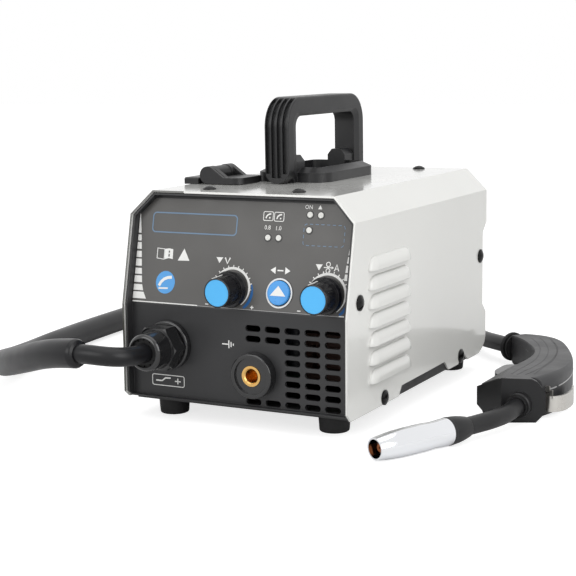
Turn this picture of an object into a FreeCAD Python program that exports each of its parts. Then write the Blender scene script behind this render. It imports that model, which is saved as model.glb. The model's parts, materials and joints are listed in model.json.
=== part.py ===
import FreeCAD, Part
import math
import os

# Portable wire-feed welder with its torch lying beside it, in millimetres.
# +Z is up, the front faces -Y, and the origin is on the floor between the four feet.

V = FreeCAD.Vector
X = V(1, 0, 0)
Y = V(0, 1, 0)
Z = V(0, 0, 1)

# Case: one folded cover (top and right side) and a door (left side and the top up to the seam)
case_width = 179.0
case_height = 150.0
sheet = 1.5
corner_cut = 17.0
front_top_y = -119.0
nose_out = 18.3
nose_height = 69.3
front_foot_out = 1.0
front_chin = 5.5
rear_y = 128.0
rear_step = 8.5
seam_x = -46.0
seam_gap = 0.5
panel_gap = 0.4
swing_relief = 2.5
door_bottom_gap = 1.0

# Feet
foot_height = 14.0
foot_radius = 10.5
foot_flare = 1.0
foot_x = 65.4
foot_y = 109.0

# Vents in the cover's right side
louvre_count = 7
louvre_pitch = 13.07
louvre_length = 70.0
louvre_height = 9.5
louvre_bulge = 4.0
louvre_skin = 1.1
louvre_end = 9.5
louvre_first_z = 98.0
louvre_middle_y = -68.5

# Front moulding
rim_wall = 1.5
rim_reach = 15.5
face_depth = 8.0
face_wall = 2.5
rim_set_back = 1.5
label_thickness = 0.7
label_bottom = 70.3
label_top_gap = 6.0
label_edge = 0.3
boss_radius = 11.5
slot_width = 12.0
slot_height = 4.5
slot_pitch_x = 15.35
slot_pitch_z = 7.4
slot_first_x = 13.4
slot_first_z = 57.6
slot_rows = (5, 5, 3, 3, 3, 3, 3, 5)

# Controls
knob_x = (-4.3, 69.5)
knob_height = 84.0
knob_skirt_radius = 13.0
knob_skirt_depth = 3.0
knob_length = 17.0
knob_radius = 10.8
cap_radius = 9.3
cap_depth = 2.0
shaft_radius = 3.0
running_fit = 0.05
board_thickness = 1.6
board_top_gap = 14.0
button_x = 33.5
button_height = 83.1
button_radius = 8.5
button_out = 2.6
bezel_radius = 10.25
lamp_radius = 2.0
lamp_drops = ((20.8, 30.2), (29.1, 30.1), (51.8, 13.7), (60.0, 13.8), (52.0, 24.0))
body_clearance = 0.4

# Welding socket and cable gland
socket_x = 15.5
socket_height = 25.5
socket_radius = 16.0
socket_out = 8.0
contact_radius = 7.25
contact_bore = 4.75
contact_depth = 25.0
gland_x = -55.0
gland_height = 41.0
gland_flange_radius = 18.0
gland_out = 34.0
nut_across = 30.0
nut_mouth_radius = 13.0
cable_radius = 6.8
cable_play = 0.1
sleeve_radius = 10.5
sleeve_play = 0.3

# Carry handle
handle_x = -8.5
handle_y = 15.0
handle_length = 131.0
handle_width = 20.0
handle_rise = 63.3
handle_bar = 14.2
handle_post = 15.5
handle_corner = 22.0
window_corner = 8.0
handle_edge = 1.5
bevel_in = 1.5
bevel_bar = 2.5
bevel_post = 6.5
groove_count = 4
groove_pitch = 4.6
groove_width = 3.5
groove_depth = 2.6
groove_foot = 12.0
base_length = 94.0
base_width = 60.0
base_corner = 14.0
base_wall = 7.1
base_rise = 10.8
base_slope = 8.0
gusset_width = 15.0
gusset_length = 15.5
gusset_rise = 19.8
gusset_cut = 4.5

# Latch over the seam
latch_front_y = -67.0
latch_depth = 35.0
latch_axis_x = -58.0
latch_axis_rise = 6.8
latch_reach = 28.0
latch_plate = 5.1
latch_knee = 13.6
latch_gap = 0.3
latch_corner = 8.5
drum_radius = 6.5
arm_near = 8.0
arm_far = 5.0
arm_line = 0.9
arm_line_depth = 1.2
lug_width = 16.0
latch_pin_radius = 1.6
latch_pin_cover = 1.5
latch_tongue = 2.2
latch_play = 0.3

# Door hinge
hinge_radius = 2.2
hinge_pin_radius = 1.2
hinge_leaf = 1.0
hinge_leaf_rise = 12.0
hinge_centres_y = (-80.0, 70.0)
hinge_knuckle = 12.0
knuckle_gap = 0.4

# Wire bay
divider_x = -14.0
spool_radius = 50.0
spool_width = 45.0
spool_y = 45.0
spool_height = 74.0
spool_flange = 2.5
spool_core_radius = 22.0
spindle_radius = 8.0
wire_pack_radius = 42.0
roller_y = -78.0
roller_radius = 12.0
roller_width = 10.0
idler_radius = 9.0
roller_gap = 0.6
arm_pivot_y = -54.0
motor_radius = 16.0
axle_radius = 2.5

# Rear panel, fan and switch
rear_panel_y = 118.0
rear_flange = 12.0
wall_gap = 0.5
fan_x = 40.0
fan_height = 75.0
fan_size = 80.0
fan_depth = 25.0
fan_bore = 38.0
fan_hub = 16.0
blade_count = 7
blade_gap = 1.5
rocker_x = -52.0
rocker_drop = 26.0
rocker_width = 22.0
rocker_tall = 28.0
rocker_tilt = 9.0
inlet_x = -55.0
inlet_height = 32.0
inlet_radius = 8.0

# Screws
screw_head = 5.5
screw_dome = 2.6
screw_shank = 2.0
screw_length = 7.0
top_screw_head = 4.9
side_screws = ((-117.7, 78.7), (-77.9, 4.9), (113.3, 80.3), (69.9, 6.0))
top_screws = ((-36.0, -100.5), (36.0, -100.5), (36.0, 113.0))

# Torch, lying on its side on the floor
torch_thickness = 30.0
torch_split = 20.0
torch_edge = 5.5
torch_rear_drop = 5.0
boot_radius = 12.0
boot_flange = 3.0
boot_tube = 9.2
boot_length = 7.0
handle_rear_outer = 9.0
handle_rear_inner = 5.0
torch_outer = (
    (141.0, 142.5), (153.5, 129.0), (165.0, 107.5), (176.3, 82.0),
    (185.5, 55.0), (190.3, 31.0), (191.5, 12.0), (189.8, -6.0),
    (185.6, -20.0), (179.0, -38.0),
)
torch_inner = (
    (124.0, 121.0), (136.5, 101.0), (146.5, 80.0), (151.5, 58.0),
    (152.4, 34.0), (150.4, 11.0), (146.8, -8.0), (142.4, -26.0),
    (139.0, -44.0),
)
guard_corner = (185.2, -32.4)
guard_turn = 24.1
guard_height = 32.1
guard_depth = 4.0
guard_step = 7.0
guard_step_start = -2.6
guard_face = (
    (-24.2, 0.0), (0.0, 0.0), (6.8, 7.2), (6.8, 19.8),
    (4.4, 25.0), (0.8, 29.2), (-2.6, 31.2), (-24.2, 32.1),
)
guard_wing_end = (140.0, -29.0)
guard_wing_low = 8.1
guard_wing_top = 21.4
guard_wing_foot = 14.0
neck_radius = 6.2
neck_root = (-12.3, 12.8)
neck_points = ((172.6, -59.0, 10.9), (167.6, -76.0, 10.3), (161.6, -88.5, 9.9))
root_ring_radius = 9.4
root_ring_out = 2.4
nozzle_start = (150.6, -114.7, 9.8)
nozzle_end = (123.8, -170.3, 9.0)
nozzle_profile = (
    (0.0, 9.4), (7.0, 9.2), (13.0, 8.95), (20.0, 9.3),
    (30.0, 9.4), (42.0, 9.3), (52.0, 8.8), (60.0, 8.0),
    (64.7, 7.5),
)
nozzle_bore = 7.4
nozzle_mouth_bore = 6.3
nozzle_core = 10.0
collar_radius = 9.6
collar_small = 7.0
collar_length = 18.0
collar_lip = 2.0
tip_radius = 4.0
tip_bore = 0.6
tip_recess = 4.0
trigger_y = (6.0, 52.0)
trigger_x = 133.5
trigger_depth = 19.5
trigger_width = 12.0
trigger_play = 0.8
trigger_throw = 3.0
hook_width = 11.5
hook_low = 5.0
hook_strip = 1.4
hook_points = (
    (187.2, -17.6), (193.2, -16.8), (197.2, -11.5), (198.8, -3.0),
    (198.4, 9.5), (195.5, 21.0),
)
hook_tab = (187.4, 192.6, -18.2, -16.9)
hook_tab_top = 23.5

# Route of the torch lead, from the gland round the left side and behind the case to the torch
lead_route = (
    (-55, -161, 55), (-55, -177, 55), (-63, -191.5, 57), (-85, -196, 58.7),
    (-120, -186, 54), (-157, -167, 43), (-197, -139, 31), (-234, -98, 20),
    (-262, -40, 10.7), (-274, 28, 10.7), (-281, 98, 10.7), (-285, 168, 10.7),
    (-291, 240, 10.7), (-292, 318, 10.7), (-284, 393, 9), (-254, 460, 7),
    (-196, 503, 7), (-122, 511, 7), (-64, 483, 7), (-42, 422, 7),
    (-60, 360, 7), (-56, 300, 7), (-10, 256, 7.4), (38, 222, 9.5),
    (70, 175.5, 13), (88.6, 156.8, 15), (106, 145, 15),
)
before_sleeve_count = 1
sleeve_run_count = 10

# Derived places
half = case_width / 2
floor = foot_height
roof = floor + case_height
inner_half = half - sheet
panel_offset = sheet + panel_gap
nose_y = front_top_y - nose_out
nose_z = floor + nose_height
slope = nose_out / (case_height - nose_height)
tilt = math.atan(slope)
face_normal = V(0, -math.cos(tilt), math.sin(tilt))
lower_face_y = nose_y + face_depth
rim_back_y = front_top_y + rim_reach
hinge_axis_x = -half + 4.0
hinge_axis_z = floor + 3.5
wire_x = gland_x
wire_z = floor + gland_height
spool_z = floor + spool_height
latch_back_y = latch_front_y + latch_depth
latch_middle_y = (latch_front_y + latch_back_y) / 2
latch_axis_z = roof + latch_axis_rise
rear_fan_y = rear_panel_y - fan_depth
fan_z = floor + fan_height
torch_mid_z = torch_thickness / 2
beyond = 2 * case_width + torch_thickness


def wide_box(z0, z1, x0=None, x1=None):
    """A slab that reaches past the whole object sideways, for keeping or cutting a layer."""
    left = -beyond if x0 is None else x0
    right = beyond if x1 is None else x1
    return box(left, right, -beyond, beyond, z0, z1)


def box(x0, x1, y0, y1, z0, z1):
    return Part.makeBox(x1 - x0, y1 - y0, z1 - z0, V(x0, y0, z0))


def rod(radius, start, end):
    way = V(*end) - V(*start)
    return Part.makeCylinder(radius, way.Length, V(*start), way)


def tube(outer, inner, start, end):
    return rod(outer, start, end).cut(rod(inner, start, end))


def prism(points, way):
    corners = [V(*p) for p in points]
    face = Part.Face(Part.makePolygon(corners + corners[:1]))
    return face.extrude(way)


def prism_x(points, x0, x1):
    return prism([(x0, y, z) for y, z in points], X * (x1 - x0))


def prism_y(points, y0, y1):
    return prism([(x, y0, z) for x, z in points], Y * (y1 - y0))


def prism_z(points, z0, z1):
    return prism([(x, y, z0) for x, y in points], Z * (z1 - z0))


def join(shapes):
    whole = shapes[0]
    if len(shapes) > 1:
        whole = whole.fuse(shapes[1:])
    return whole.removeSplitter()


def dome(centre, way, radius, height, lip=0.8):
    """Domed screw head whose flat side is at centre."""
    ball = (radius ** 2 + (height - lip) ** 2) / (2 * (height - lip))
    middle = V(*centre) + way * (height - ball)
    cap = Part.makeSphere(ball, middle).common(Part.makeCylinder(radius, height, V(*centre), way))
    return cap


def flat_slot(x, y0, y1, z, width, height):
    r = height / 2
    reach = width / 2 - r
    ends = [rod(r, (x + side * reach, y0, z), (x + side * reach, y1, z)) for side in (-1, 1)]
    return join([box(x - reach, x + reach, y0, y1, z - r, z + r)] + ends)


def case_section(inset, bottom):
    """Outline of the case seen from the front, drawn in by inset."""
    w = half - inset
    top = roof - inset
    cut = corner_cut - (2 - math.sqrt(2)) * inset
    return [(-w, bottom), (w, bottom), (w, top - cut), (w - cut, top), (-w + cut, top), (-w, top - cut)]


def front_y(z, back=0.0):
    """Y of the sheets' front edge at height z, moved back."""
    if z < nose_z:
        return nose_y - front_foot_out * (nose_z - z) / (nose_z - floor) + back
    return nose_y + (z - nose_z) * slope + back


def front_edge(back):
    chin_z = floor + front_chin
    top_z = roof + 6.0
    return [
        (front_y(chin_z, back) + front_chin, floor - 0.1),
        (front_y(chin_z, back), chin_z),
        (front_y(nose_z, back), nose_z),
        (front_y(top_z, back), top_z),
    ]


def face_edge(back):
    low = floor - 6.0
    top = roof + 6.0
    return [(front_y(z, back), z) for z in (low, nose_z, top)]


def side_outline(bottom):
    rear = rear_y
    return [
        (front_y(floor + front_chin) + front_chin, bottom),
        (front_y(floor + front_chin), max(bottom + 4.5, floor + front_chin)),
        (nose_y, nose_z),
        (front_y(roof + 6.0), roof + 6.0),
        (rear, roof + 6.0),
        (rear, floor + 107.0),
        (rear - rear_step, floor + 99.0),
        (rear - rear_step, floor + 40.0),
        (rear - 1.0, floor + 33.0),
        (rear - 1.0, floor + 12.0),
        (rear - 3.2, floor + 7.4),
        (rear - 7.5, floor + 4.0),
        (rear - 13.0, floor + 1.6),
        (rear - 17.0, bottom),
    ]


def right_outline():
    """The cover's right side has two notches in its lower edge."""
    points = side_outline(floor)
    notches = [
        (103.0, floor), (86.0, floor), (79.0, floor + 5.5), (71.0, floor + 5.5), (64.9, floor),
        (44.8, floor), (36.5, floor + 7.7), (-47.3, floor + 7.0), (-52.4, floor),
    ]
    return points + notches


def shell_section(x_left, x_right):
    outer = case_section(0, floor - 10)
    inner = case_section(sheet, floor - 20)
    ring = prism_y(outer, -200, 200).cut(prism_y(inner, -210, 210))
    return ring.common(box(x_left, x_right, -200, 200, floor - 10, roof + 5))


def screw_places():
    side = [((inner_half, y, floor + z), X) for y, z in side_screws]
    top = [((x, y, roof - sheet), Z) for x, y in top_screws]
    return side + top


def screw_holes():
    holes = []
    for place, way in screw_places():
        start = V(*place) - way * (screw_length + 1)
        holes.append(Part.makeCylinder(screw_shank + 0.1, screw_length + 4, start, way))
    return holes


def cover_screws():
    screws = []
    for place, way in screw_places():
        seat = V(*place) + way * sheet
        shank = Part.makeCylinder(screw_shank, screw_length + sheet, V(*place) - way * screw_length, way)
        head = top_screw_head if way.z > 0.5 else screw_head
        screws.append(join([dome(seat, way, head, screw_dome), shank]))
    return Part.makeCompound(screws)


def hood_form(z_bottom, thinner):
    """Upper half of a long rounded swelling on the side, drawn in all round by the given thickness."""
    tall = louvre_height - thinner
    bulge = louvre_bulge - thinner
    reach = louvre_length / 2 - louvre_end
    start = V(0, -reach, 0)
    body = Part.makeCylinder(tall, 2 * reach, start, Y)
    ends = [Part.makeSphere(tall, V(0, side * reach, 0)) for side in (-1, 1)]
    above = Part.makeBox(tall + 1, louvre_length + 2, tall + 1, V(0, -louvre_length / 2 - 1, 0))
    whole = body.fuse(ends).common(above)
    squash = FreeCAD.Matrix()
    squash.A11 = bulge / tall
    squash.A22 = (louvre_end - thinner) / tall
    squashed = whole.transformGeometry(squash)
    return squashed.translated(V(half, louvre_middle_y, z_bottom))


def louvre_slit(z_bottom):
    reach = louvre_length / 2 - louvre_end
    top = z_bottom + louvre_height * 0.5
    return box(inner_half - 1, half + 0.01, louvre_middle_y - reach, louvre_middle_y + reach, z_bottom, top)


def main_cover():
    cover = shell_section(seam_x, half + 1)
    cover = cover.common(prism_x(right_outline(), seam_x - 1, half + 1))
    outside = []
    inside = []
    for i in range(louvre_count):
        z = floor + louvre_first_z - i * louvre_pitch
        outside.append(hood_form(z, 0.0))
        inside.append(hood_form(z, louvre_skin).translated(Z * -0.01))
        inside.append(louvre_slit(z))
    cover = cover.fuse(outside)
    cover = cover.cut(inside)
    cover = cover.cut(screw_holes())
    return cover.cut(latch_slot()).removeSplitter()


def latch_slot():
    y0 = latch_middle_y - 7.0
    return box(-43.8, -31.7, y0, y0 + 14.0, roof - 5, roof + 5)


def spool_door():
    bottom = floor + door_bottom_gap
    door = shell_section(-half - 1, seam_x - seam_gap)
    return door.common(prism_x(side_outline(bottom), -half - 1, 0)).removeSplitter()


def base_tray():
    y0 = front_y(floor + 2) + 8.0
    y1 = rear_panel_y + sheet
    left = hinge_axis_x + hinge_radius + 0.3
    right = inner_half - 0.2
    bottom = box(left, right, y0, y1, floor, floor + sheet)
    wall_y0 = rim_back_y + wall_gap
    wall_y1 = rear_panel_y - rear_flange - wall_gap
    left_wall = box(left, left + sheet, wall_y0, wall_y1, floor, floor + 22)
    right_wall = box(right - sheet, right, wall_y0, wall_y1, floor, floor + 24)
    return join([bottom, left_wall, right_wall]).cut(screw_holes())


def rubber_feet():
    feet = []
    for sx in (-1, 1):
        for sy in (-1, 1):
            base = V(sx * foot_x, sy * foot_y, 0)
            foot = Part.makeCone(foot_radius, foot_radius + foot_flare, foot_height, base, Z)
            edges = [e for e in foot.Edges if e.BoundBox.ZMax < 0.01]
            foot = foot.makeFillet(1.5, edges)
            feet.append(foot)
    return Part.makeCompound(feet)


def knob_axis_y():
    """Front end of the boss under each knob: clear of the sloping face's lowest point."""
    low = floor + knob_height - knob_skirt_radius
    return front_y(low, face_depth) - label_thickness - 0.6


def knob_bosses():
    z = floor + knob_height
    bosses = []
    for x in knob_x:
        bosses.append(rod(boss_radius, (x, knob_axis_y(), z), (x, knob_axis_y() + 14, z)))
    return bosses


def face_point(x, height, out=0.0):
    """Point on the sloping upper face at a height above the case's bottom."""
    z = floor + height
    return V(x, front_y(z, face_depth), z) + face_normal * out


def button_cut(radius):
    start = face_point(button_x, button_height, -20)
    return Part.makeCylinder(radius, 40, start, face_normal)


def lamp_rods(radius, back, out):
    return [
        Part.makeCylinder(radius, out + back, face_point(x, case_height - drop, -back), face_normal)
        for x, drop in lamp_drops
    ]


def shaft_cuts(radius):
    z = floor + knob_height
    return [rod(radius, (x, -200, z), (x, -90, z)) for x in knob_x]


def gland_cut(radius):
    return rod(radius, (gland_x, -200, wire_z), (gland_x, -90, wire_z))


def socket_cut(radius):
    z = floor + socket_height
    return rod(radius, (socket_x, -200, z), (socket_x, -90, z))


def door_relief():
    """Room for the door's lower edge, which swings in under the panels' corners."""
    return box(-half, -half + panel_offset + swing_relief / 2, -200, 200, floor, floor + sheet + swing_relief)


def front_panel():
    bottom = floor + sheet + 0.2
    block = prism_y(case_section(panel_offset, bottom), -150, -90)
    hollow = prism_y(case_section(panel_offset + rim_wall, bottom + rim_wall), -160, -80)
    rim_side = front_edge(rim_set_back) + [(rim_back_y, roof + 6.0), (rim_back_y, floor - 0.1)]
    rim = block.cut(hollow).common(prism_x(rim_side, -half, half))
    face_side = face_edge(face_depth) + face_edge(face_depth + face_wall)[::-1]
    face = block.common(prism_x(face_side, -half, half))
    behind_face = prism_x(face_edge(-40) + face_edge(face_depth + 1)[::-1], -half, half)
    bosses = [b.common(behind_face) for b in knob_bosses()]
    panel = rim.fuse([face] + bosses)
    holes = []
    for row, count in enumerate(slot_rows):
        z = floor + slot_first_z - row * slot_pitch_z
        for column in range(5 - count, 5):
            x = slot_first_x + column * slot_pitch_x
            holes.append(flat_slot(x, lower_face_y - 6, lower_face_y + 8, z, slot_width, slot_height))
    holes.append(gland_cut(nut_mouth_radius - 3))
    holes.append(socket_cut(contact_radius + 3))
    holes.append(button_cut(button_radius + body_clearance))
    holes += shaft_cuts(shaft_radius + body_clearance)
    holes += lamp_rods(lamp_radius, 10, 10)
    return panel.cut(holes + screw_holes() + [door_relief()]).removeSplitter()


def control_label():
    side = face_edge(face_depth - label_thickness) + face_edge(face_depth)[::-1]
    inset = panel_offset + rim_wall + label_edge
    block = prism_y(case_section(inset, floor), -150, -90)
    plate = prism_x(side, -half, half).common(block)
    plate = plate.common(box(-half, half, -200, 0, floor + label_bottom, roof - label_top_gap))
    foot = face_point(button_x, button_height)
    bezel = Part.makeCylinder(bezel_radius, label_thickness + 0.6, foot, face_normal)
    label = plate.fuse(bezel)
    holes = [b.copy() for b in knob_bosses()] + lamp_rods(lamp_radius, 10, 10)
    holes.append(button_cut(button_radius + body_clearance))
    return label.cut(holes).removeSplitter()


def indicator_lenses():
    lenses = []
    for lens in lamp_rods(lamp_radius, 2.0, label_thickness + 0.6):
        lenses.append(lens)
    return Part.makeCompound(lenses)


def rear_panel():
    bottom = floor + sheet + 0.2
    block = prism_y(case_section(panel_offset, bottom), rear_panel_y - rear_flange, rear_panel_y + sheet)
    hollow = prism_y(case_section(panel_offset + sheet, bottom + sheet), rear_panel_y - 20, rear_panel_y)
    panel = block.cut(hollow)
    holes = []
    reach = fan_bore - 4.0
    rows = 4
    for row in range(-rows, rows + 1):
        dz = row * 7.6
        width = 2 * math.sqrt(reach ** 2 - dz ** 2)
        holes.append(flat_slot(fan_x, rear_panel_y - 5, rear_panel_y + 5, fan_z + dz, width, 4.4))
    z = roof - rocker_drop
    holes.append(box(
        rocker_x - rocker_width / 2, rocker_x + rocker_width / 2, rear_panel_y - 5, rear_panel_y + 5,
        z - rocker_tall / 2, z + rocker_tall / 2,
    ))
    z = floor + inlet_height
    holes.append(rod(inlet_radius, (inlet_x, rear_panel_y - 5, z), (inlet_x, rear_panel_y + 5, z)))
    panel = panel.cut(holes + screw_holes() + [door_relief()])
    bars = [
        box(fan_x + dx - 1, fan_x + dx + 1, rear_panel_y, rear_panel_y + sheet, fan_z - reach, fan_z + reach)
        for dx in (-14, 14)
    ]
    return panel.fuse(bars).removeSplitter()


def centre_divider():
    x0 = divider_x - sheet / 2
    y0 = rim_back_y + wall_gap
    y1 = rear_panel_y - rear_flange - wall_gap
    wall = box(x0, x0 + sheet, y0, y1, floor + sheet, roof - panel_offset - rim_wall)
    foot = box(x0, x0 + 12, y0 + 12, y1 - 8, floor + sheet, floor + 2 * sheet)
    return join([wall, foot])


def rounded_edges(a0, a1, b0, b1, radius, place):
    """Closed wire of four straight and four round edges; place turns (a, b) into a point."""
    quarter = radius * (1 - math.sqrt(0.5))
    corners = [(a1, b0, 1, -1), (a1, b1, 1, 1), (a0, b1, -1, 1), (a0, b0, -1, -1)]
    edges = []
    last = None
    first = None
    for i, (a, b, sa, sb) in enumerate(corners):
        along = radius if i in (0, 2) else 0
        across = radius - along
        one = place(a - along * sa, b - across * sb)
        two = place(a - across * sa, b - along * sb)
        middle = place(a - quarter * sa, b - quarter * sb)
        if last is None:
            first = one
        else:
            edges.append(Part.LineSegment(last, one).toShape())
        edges.append(Part.Arc(one, middle, two).toShape())
        last = two
    edges.append(Part.LineSegment(last, first).toShape())
    return Part.Wire(edges)


def side_loop(y0, y1, z0, z1, radius, x):
    return rounded_edges(y0, y1, z0, z1, radius, lambda a, b: V(x, a, b))


def plan_loop(x0, x1, y0, y1, radius, z):
    return rounded_edges(x0, x1, y0, y1, radius, lambda a, b: V(a, b, z))


def handle_window(inset_y, inset_z, x, radius):
    """Outline of the hand's opening, widened by the insets, at a distance x from the middle."""
    y1 = handle_length / 2 - handle_post + inset_y
    z1 = handle_rise - handle_bar + inset_z
    return side_loop(-y1, y1, -20.0, z1, radius, x)


def handle_grooves():
    """Long grooves down the front and rear posts, over the upper corners and rounded below."""
    y1 = handle_length / 2
    r = handle_corner - groove_depth
    outer = Part.Face(side_loop(-y1 - 2, y1 + 2, -60.0, handle_rise + 2, handle_corner, 0.0))
    y2 = y1 - groove_depth
    inner = Part.Face(side_loop(-y2, y2, -61.0, handle_rise - groove_depth, r, 0.0))
    ring = outer.cut(inner)
    keep = y1 - handle_post
    tools = []
    for i in range(groove_count):
        x = (i - (groove_count - 1) / 2) * groove_pitch
        bar = ring.extrude(X * groove_width).translated(X * (x - groove_width / 2))
        low = groove_foot - math.sqrt(max(0.0, (handle_width / 2 - 1.2) ** 2 - x ** 2)) + 1.0
        for side in (-1, 1):
            y0 = min(side * keep, side * (y1 + 2))
            tools.append(bar.common(box(-20, 20, y0, y0 + handle_post + 2, groove_foot, handle_rise + 2)))
            foot = (y1 - groove_depth) * side
            outside = (y1 + 2) * side
            f0 = min(foot, outside)
            f1 = max(foot, outside)
            tools.append(box(x - groove_width / 2, x + groove_width / 2, f0, f1, low, groove_foot + 0.5))
    return tools


def carry_handle():
    y1 = handle_length / 2
    w = handle_width / 2
    outer = Part.Face(side_loop(-y1, y1, -30.0, handle_rise, handle_corner, -w))
    loop = outer.extrude(X * handle_width)
    edges = [e for e in loop.Edges if abs(abs(e.CenterOfMass.x) - w) < 0.01]
    loop = loop.makeFillet(handle_edge, edges)
    through = Part.Face(handle_window(0, 0, -w - 1, window_corner)).extrude(X * (2 * w + 2))
    bevels = []
    for side in (-1, 1):
        narrow = handle_window(0, 0, side * (w - bevel_in), window_corner)
        wide = handle_window(bevel_post, bevel_bar, side * w, window_corner)
        over_y = bevel_post * 1.2
        over_z = bevel_bar * 1.2
        beyond_face = handle_window(over_y, over_z, side * (w + 0.2 * bevel_in), window_corner)
        bevels.append(Part.makeLoft([narrow, wide, beyond_face], True, True))
    loop = loop.cut([through] + bevels)
    foot_cut = box(-w - 1, w + 1, -y1 - 1, y1 + 1, -1, groove_foot)
    round_foot = rod(w, (0, -y1 - 1, w + 0.2), (0, y1 + 1, w + 0.2))
    foot_cut = foot_cut.cut([round_foot, box(-w - 1, w + 1, -y1 - 1, y1 + 1, w + 0.2, groove_foot + 1)])
    loop = loop.common(wide_box(0.0, handle_rise + 1)).cut([foot_cut] + handle_grooves())
    b = base_length / 2
    c = base_width / 2
    d = base_slope
    low = Part.Face(plan_loop(-c, c, -b, b, base_corner, 0.0)).extrude(Z * base_wall)
    upper = Part.makeLoft([
        plan_loop(-c, c, -b, b, base_corner, base_wall),
        plan_loop(-c + d, c - d, -b + d, b - d, base_corner - d, base_rise),
    ], True, True)
    hollow = Part.Face(plan_loop(-c + d, c - d, -b + d, b - d, base_corner - d, -1.0))
    hollow = hollow.extrude(Z * (base_rise + 2))
    frame = low.fuse(upper).cut(hollow)
    gussets = []
    g = gusset_width / 2
    inner = y1 - handle_post
    top = gusset_rise
    cut = gusset_cut
    section = [(-g, 0), (g, 0), (g, top - cut), (g - cut * 0.8, top), (-g + cut * 0.8, top), (-g, top - cut)]
    for side in (-1, 1):
        one = side * (inner - gusset_length)
        two = side * (inner + 2)
        gussets.append(prism_y(section, min(one, two), max(one, two)))
    whole = join([frame, loop] + gussets)
    return whole.translated(V(handle_x, handle_y, roof))


def latch_section(drop, y0, y1):
    """Slice of the latch lever: round cheek, sloping arm and plate, all lowered by drop."""
    x = latch_axis_x
    r = drum_radius - drop
    plate = roof + latch_plate
    knee = x + latch_knee - drop
    rise = plate - latch_axis_z
    far = math.sqrt(latch_knee ** 2 + rise ** 2)
    angle = math.atan2(rise, latch_knee) + math.acos(drum_radius / far)
    touch = (x + r * math.cos(angle), latch_axis_z + r * math.sin(angle))
    low = roof + latch_gap
    right = x + latch_reach
    outline = [(x, low), (right, low), (right, plate), (knee, plate), touch, (x, latch_axis_z)]
    return prism_y(outline, y0, y1).fuse(rod(r, (x, y0, latch_axis_z), (x, y1, latch_axis_z)))


def latch_bracket():
    z = latch_axis_z
    x = latch_axis_x
    block = box(x - 20, x - 8, latch_front_y, latch_back_y, roof, roof + 5)
    top = [e for e in block.Edges if e.BoundBox.ZMin > roof + 4.9]
    block = block.makeFillet(1.2, top)
    y0 = latch_middle_y - lug_width / 2
    y1 = y0 + lug_width
    r = drum_radius - 0.4
    lug = box(x - 9, x, y0, y1, roof, z)
    head = rod(r, (x, y0, z), (x, y1, z))
    bracket = join([block, lug, head])
    return bracket.cut(rod(latch_pin_radius, (x, latch_front_y - 1, z), (x, latch_back_y + 1, z)))


def latch_pin():
    start = latch_front_y + latch_pin_cover
    x = latch_axis_x
    return rod(latch_pin_radius, (x, start, latch_axis_z), (x, latch_back_y, latch_axis_z))


def latch_lever():
    x = latch_axis_x
    z = latch_axis_z
    front = latch_front_y
    back = latch_back_y
    line = front + arm_near * 0.28
    parts = [
        latch_section(0.0, front, line),
        latch_section(arm_line_depth, line, line + arm_line),
        latch_section(0.0, line + arm_line, front + arm_near),
        latch_section(0.0, back - arm_far, back),
        rod(drum_radius, (x, front, z), (x, back, z)),
        box(x, x + latch_reach, front, back, roof + latch_gap, roof + latch_plate),
    ]
    tongue = box(x + 22, x + 25, latch_middle_y - 6, latch_middle_y + 6, roof - latch_tongue, roof + 1)
    lever = join(parts + [tongue])
    right = x + latch_reach
    corner = latch_corner
    block = box(right - corner, right + 1, front - 1, front + corner, roof, roof + 20)
    round_x = right - corner
    round_y = front + corner
    block = block.cut(rod(corner, (round_x, round_y, roof), (round_x, round_y, roof + 20)))
    small = 3.5
    rear = box(right - small, right + 1, back - small, back + 1, roof, roof + 20)
    round_x = right - small
    round_y = back - small
    rear = rear.cut(rod(small, (round_x, round_y, roof), (round_x, round_y, roof + 20)))
    half_lug = lug_width / 2 + latch_play
    room = rod(drum_radius + 0.01, (x, latch_middle_y - half_lug, z), (x, latch_middle_y + half_lug, z))
    bore = rod(
        latch_pin_radius + running_fit, (x, front + latch_pin_cover - latch_play, z), (x, back + 1, z)
    )
    return lever.cut([block, rear, room, bore])


def knuckle_spans(side):
    """Y spans of the knuckles: the case holds the outer two of each hinge, the door the middle one."""
    spans = []
    for y in hinge_centres_y:
        start = y - 1.5 * hinge_knuckle
        for i in range(3):
            if (i == 1) == (side == "door"):
                a = start + i * hinge_knuckle + (knuckle_gap / 2 if i else 0)
                b = start + (i + 1) * hinge_knuckle - (knuckle_gap / 2 if i < 2 else 0)
                spans.append((a, b))
    return spans


def hinge_half(side):
    x = hinge_axis_x
    z = hinge_axis_z
    if side == "door":
        x0 = -inner_half
        x1 = x0 + hinge_leaf
        hole = hinge_pin_radius + running_fit
    else:
        x1 = x + hinge_radius + 0.3
        x0 = x1 - hinge_leaf
        hole = hinge_pin_radius
    halves = []
    for y in hinge_centres_y:
        low = z + hinge_radius + 0.8
        parts = [box(x0, x1, y - 1.5 * hinge_knuckle, y + 1.5 * hinge_knuckle, low, low + hinge_leaf_rise)]
        for a, b in knuckle_spans(side):
            if abs((a + b) / 2 - y) < 2 * hinge_knuckle:
                parts.append(box(x0, x1, a, b, z, low))
                parts.append(rod(hinge_radius, (x, a, z), (x, b, z)))
        half_hinge = join(parts)
        halves.append(half_hinge.cut(rod(hole, (x, y - 30, z), (x, y + 30, z))))
    return Part.makeCompound(halves)


def hinge_pins():
    reach = 1.5 * hinge_knuckle + 0.5
    pins = [
        rod(
            hinge_pin_radius,
            (hinge_axis_x, y - reach, hinge_axis_z),
            (hinge_axis_x, y + reach, hinge_axis_z),
        )
        for y in hinge_centres_y
    ]
    return Part.makeCompound(pins)


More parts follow.
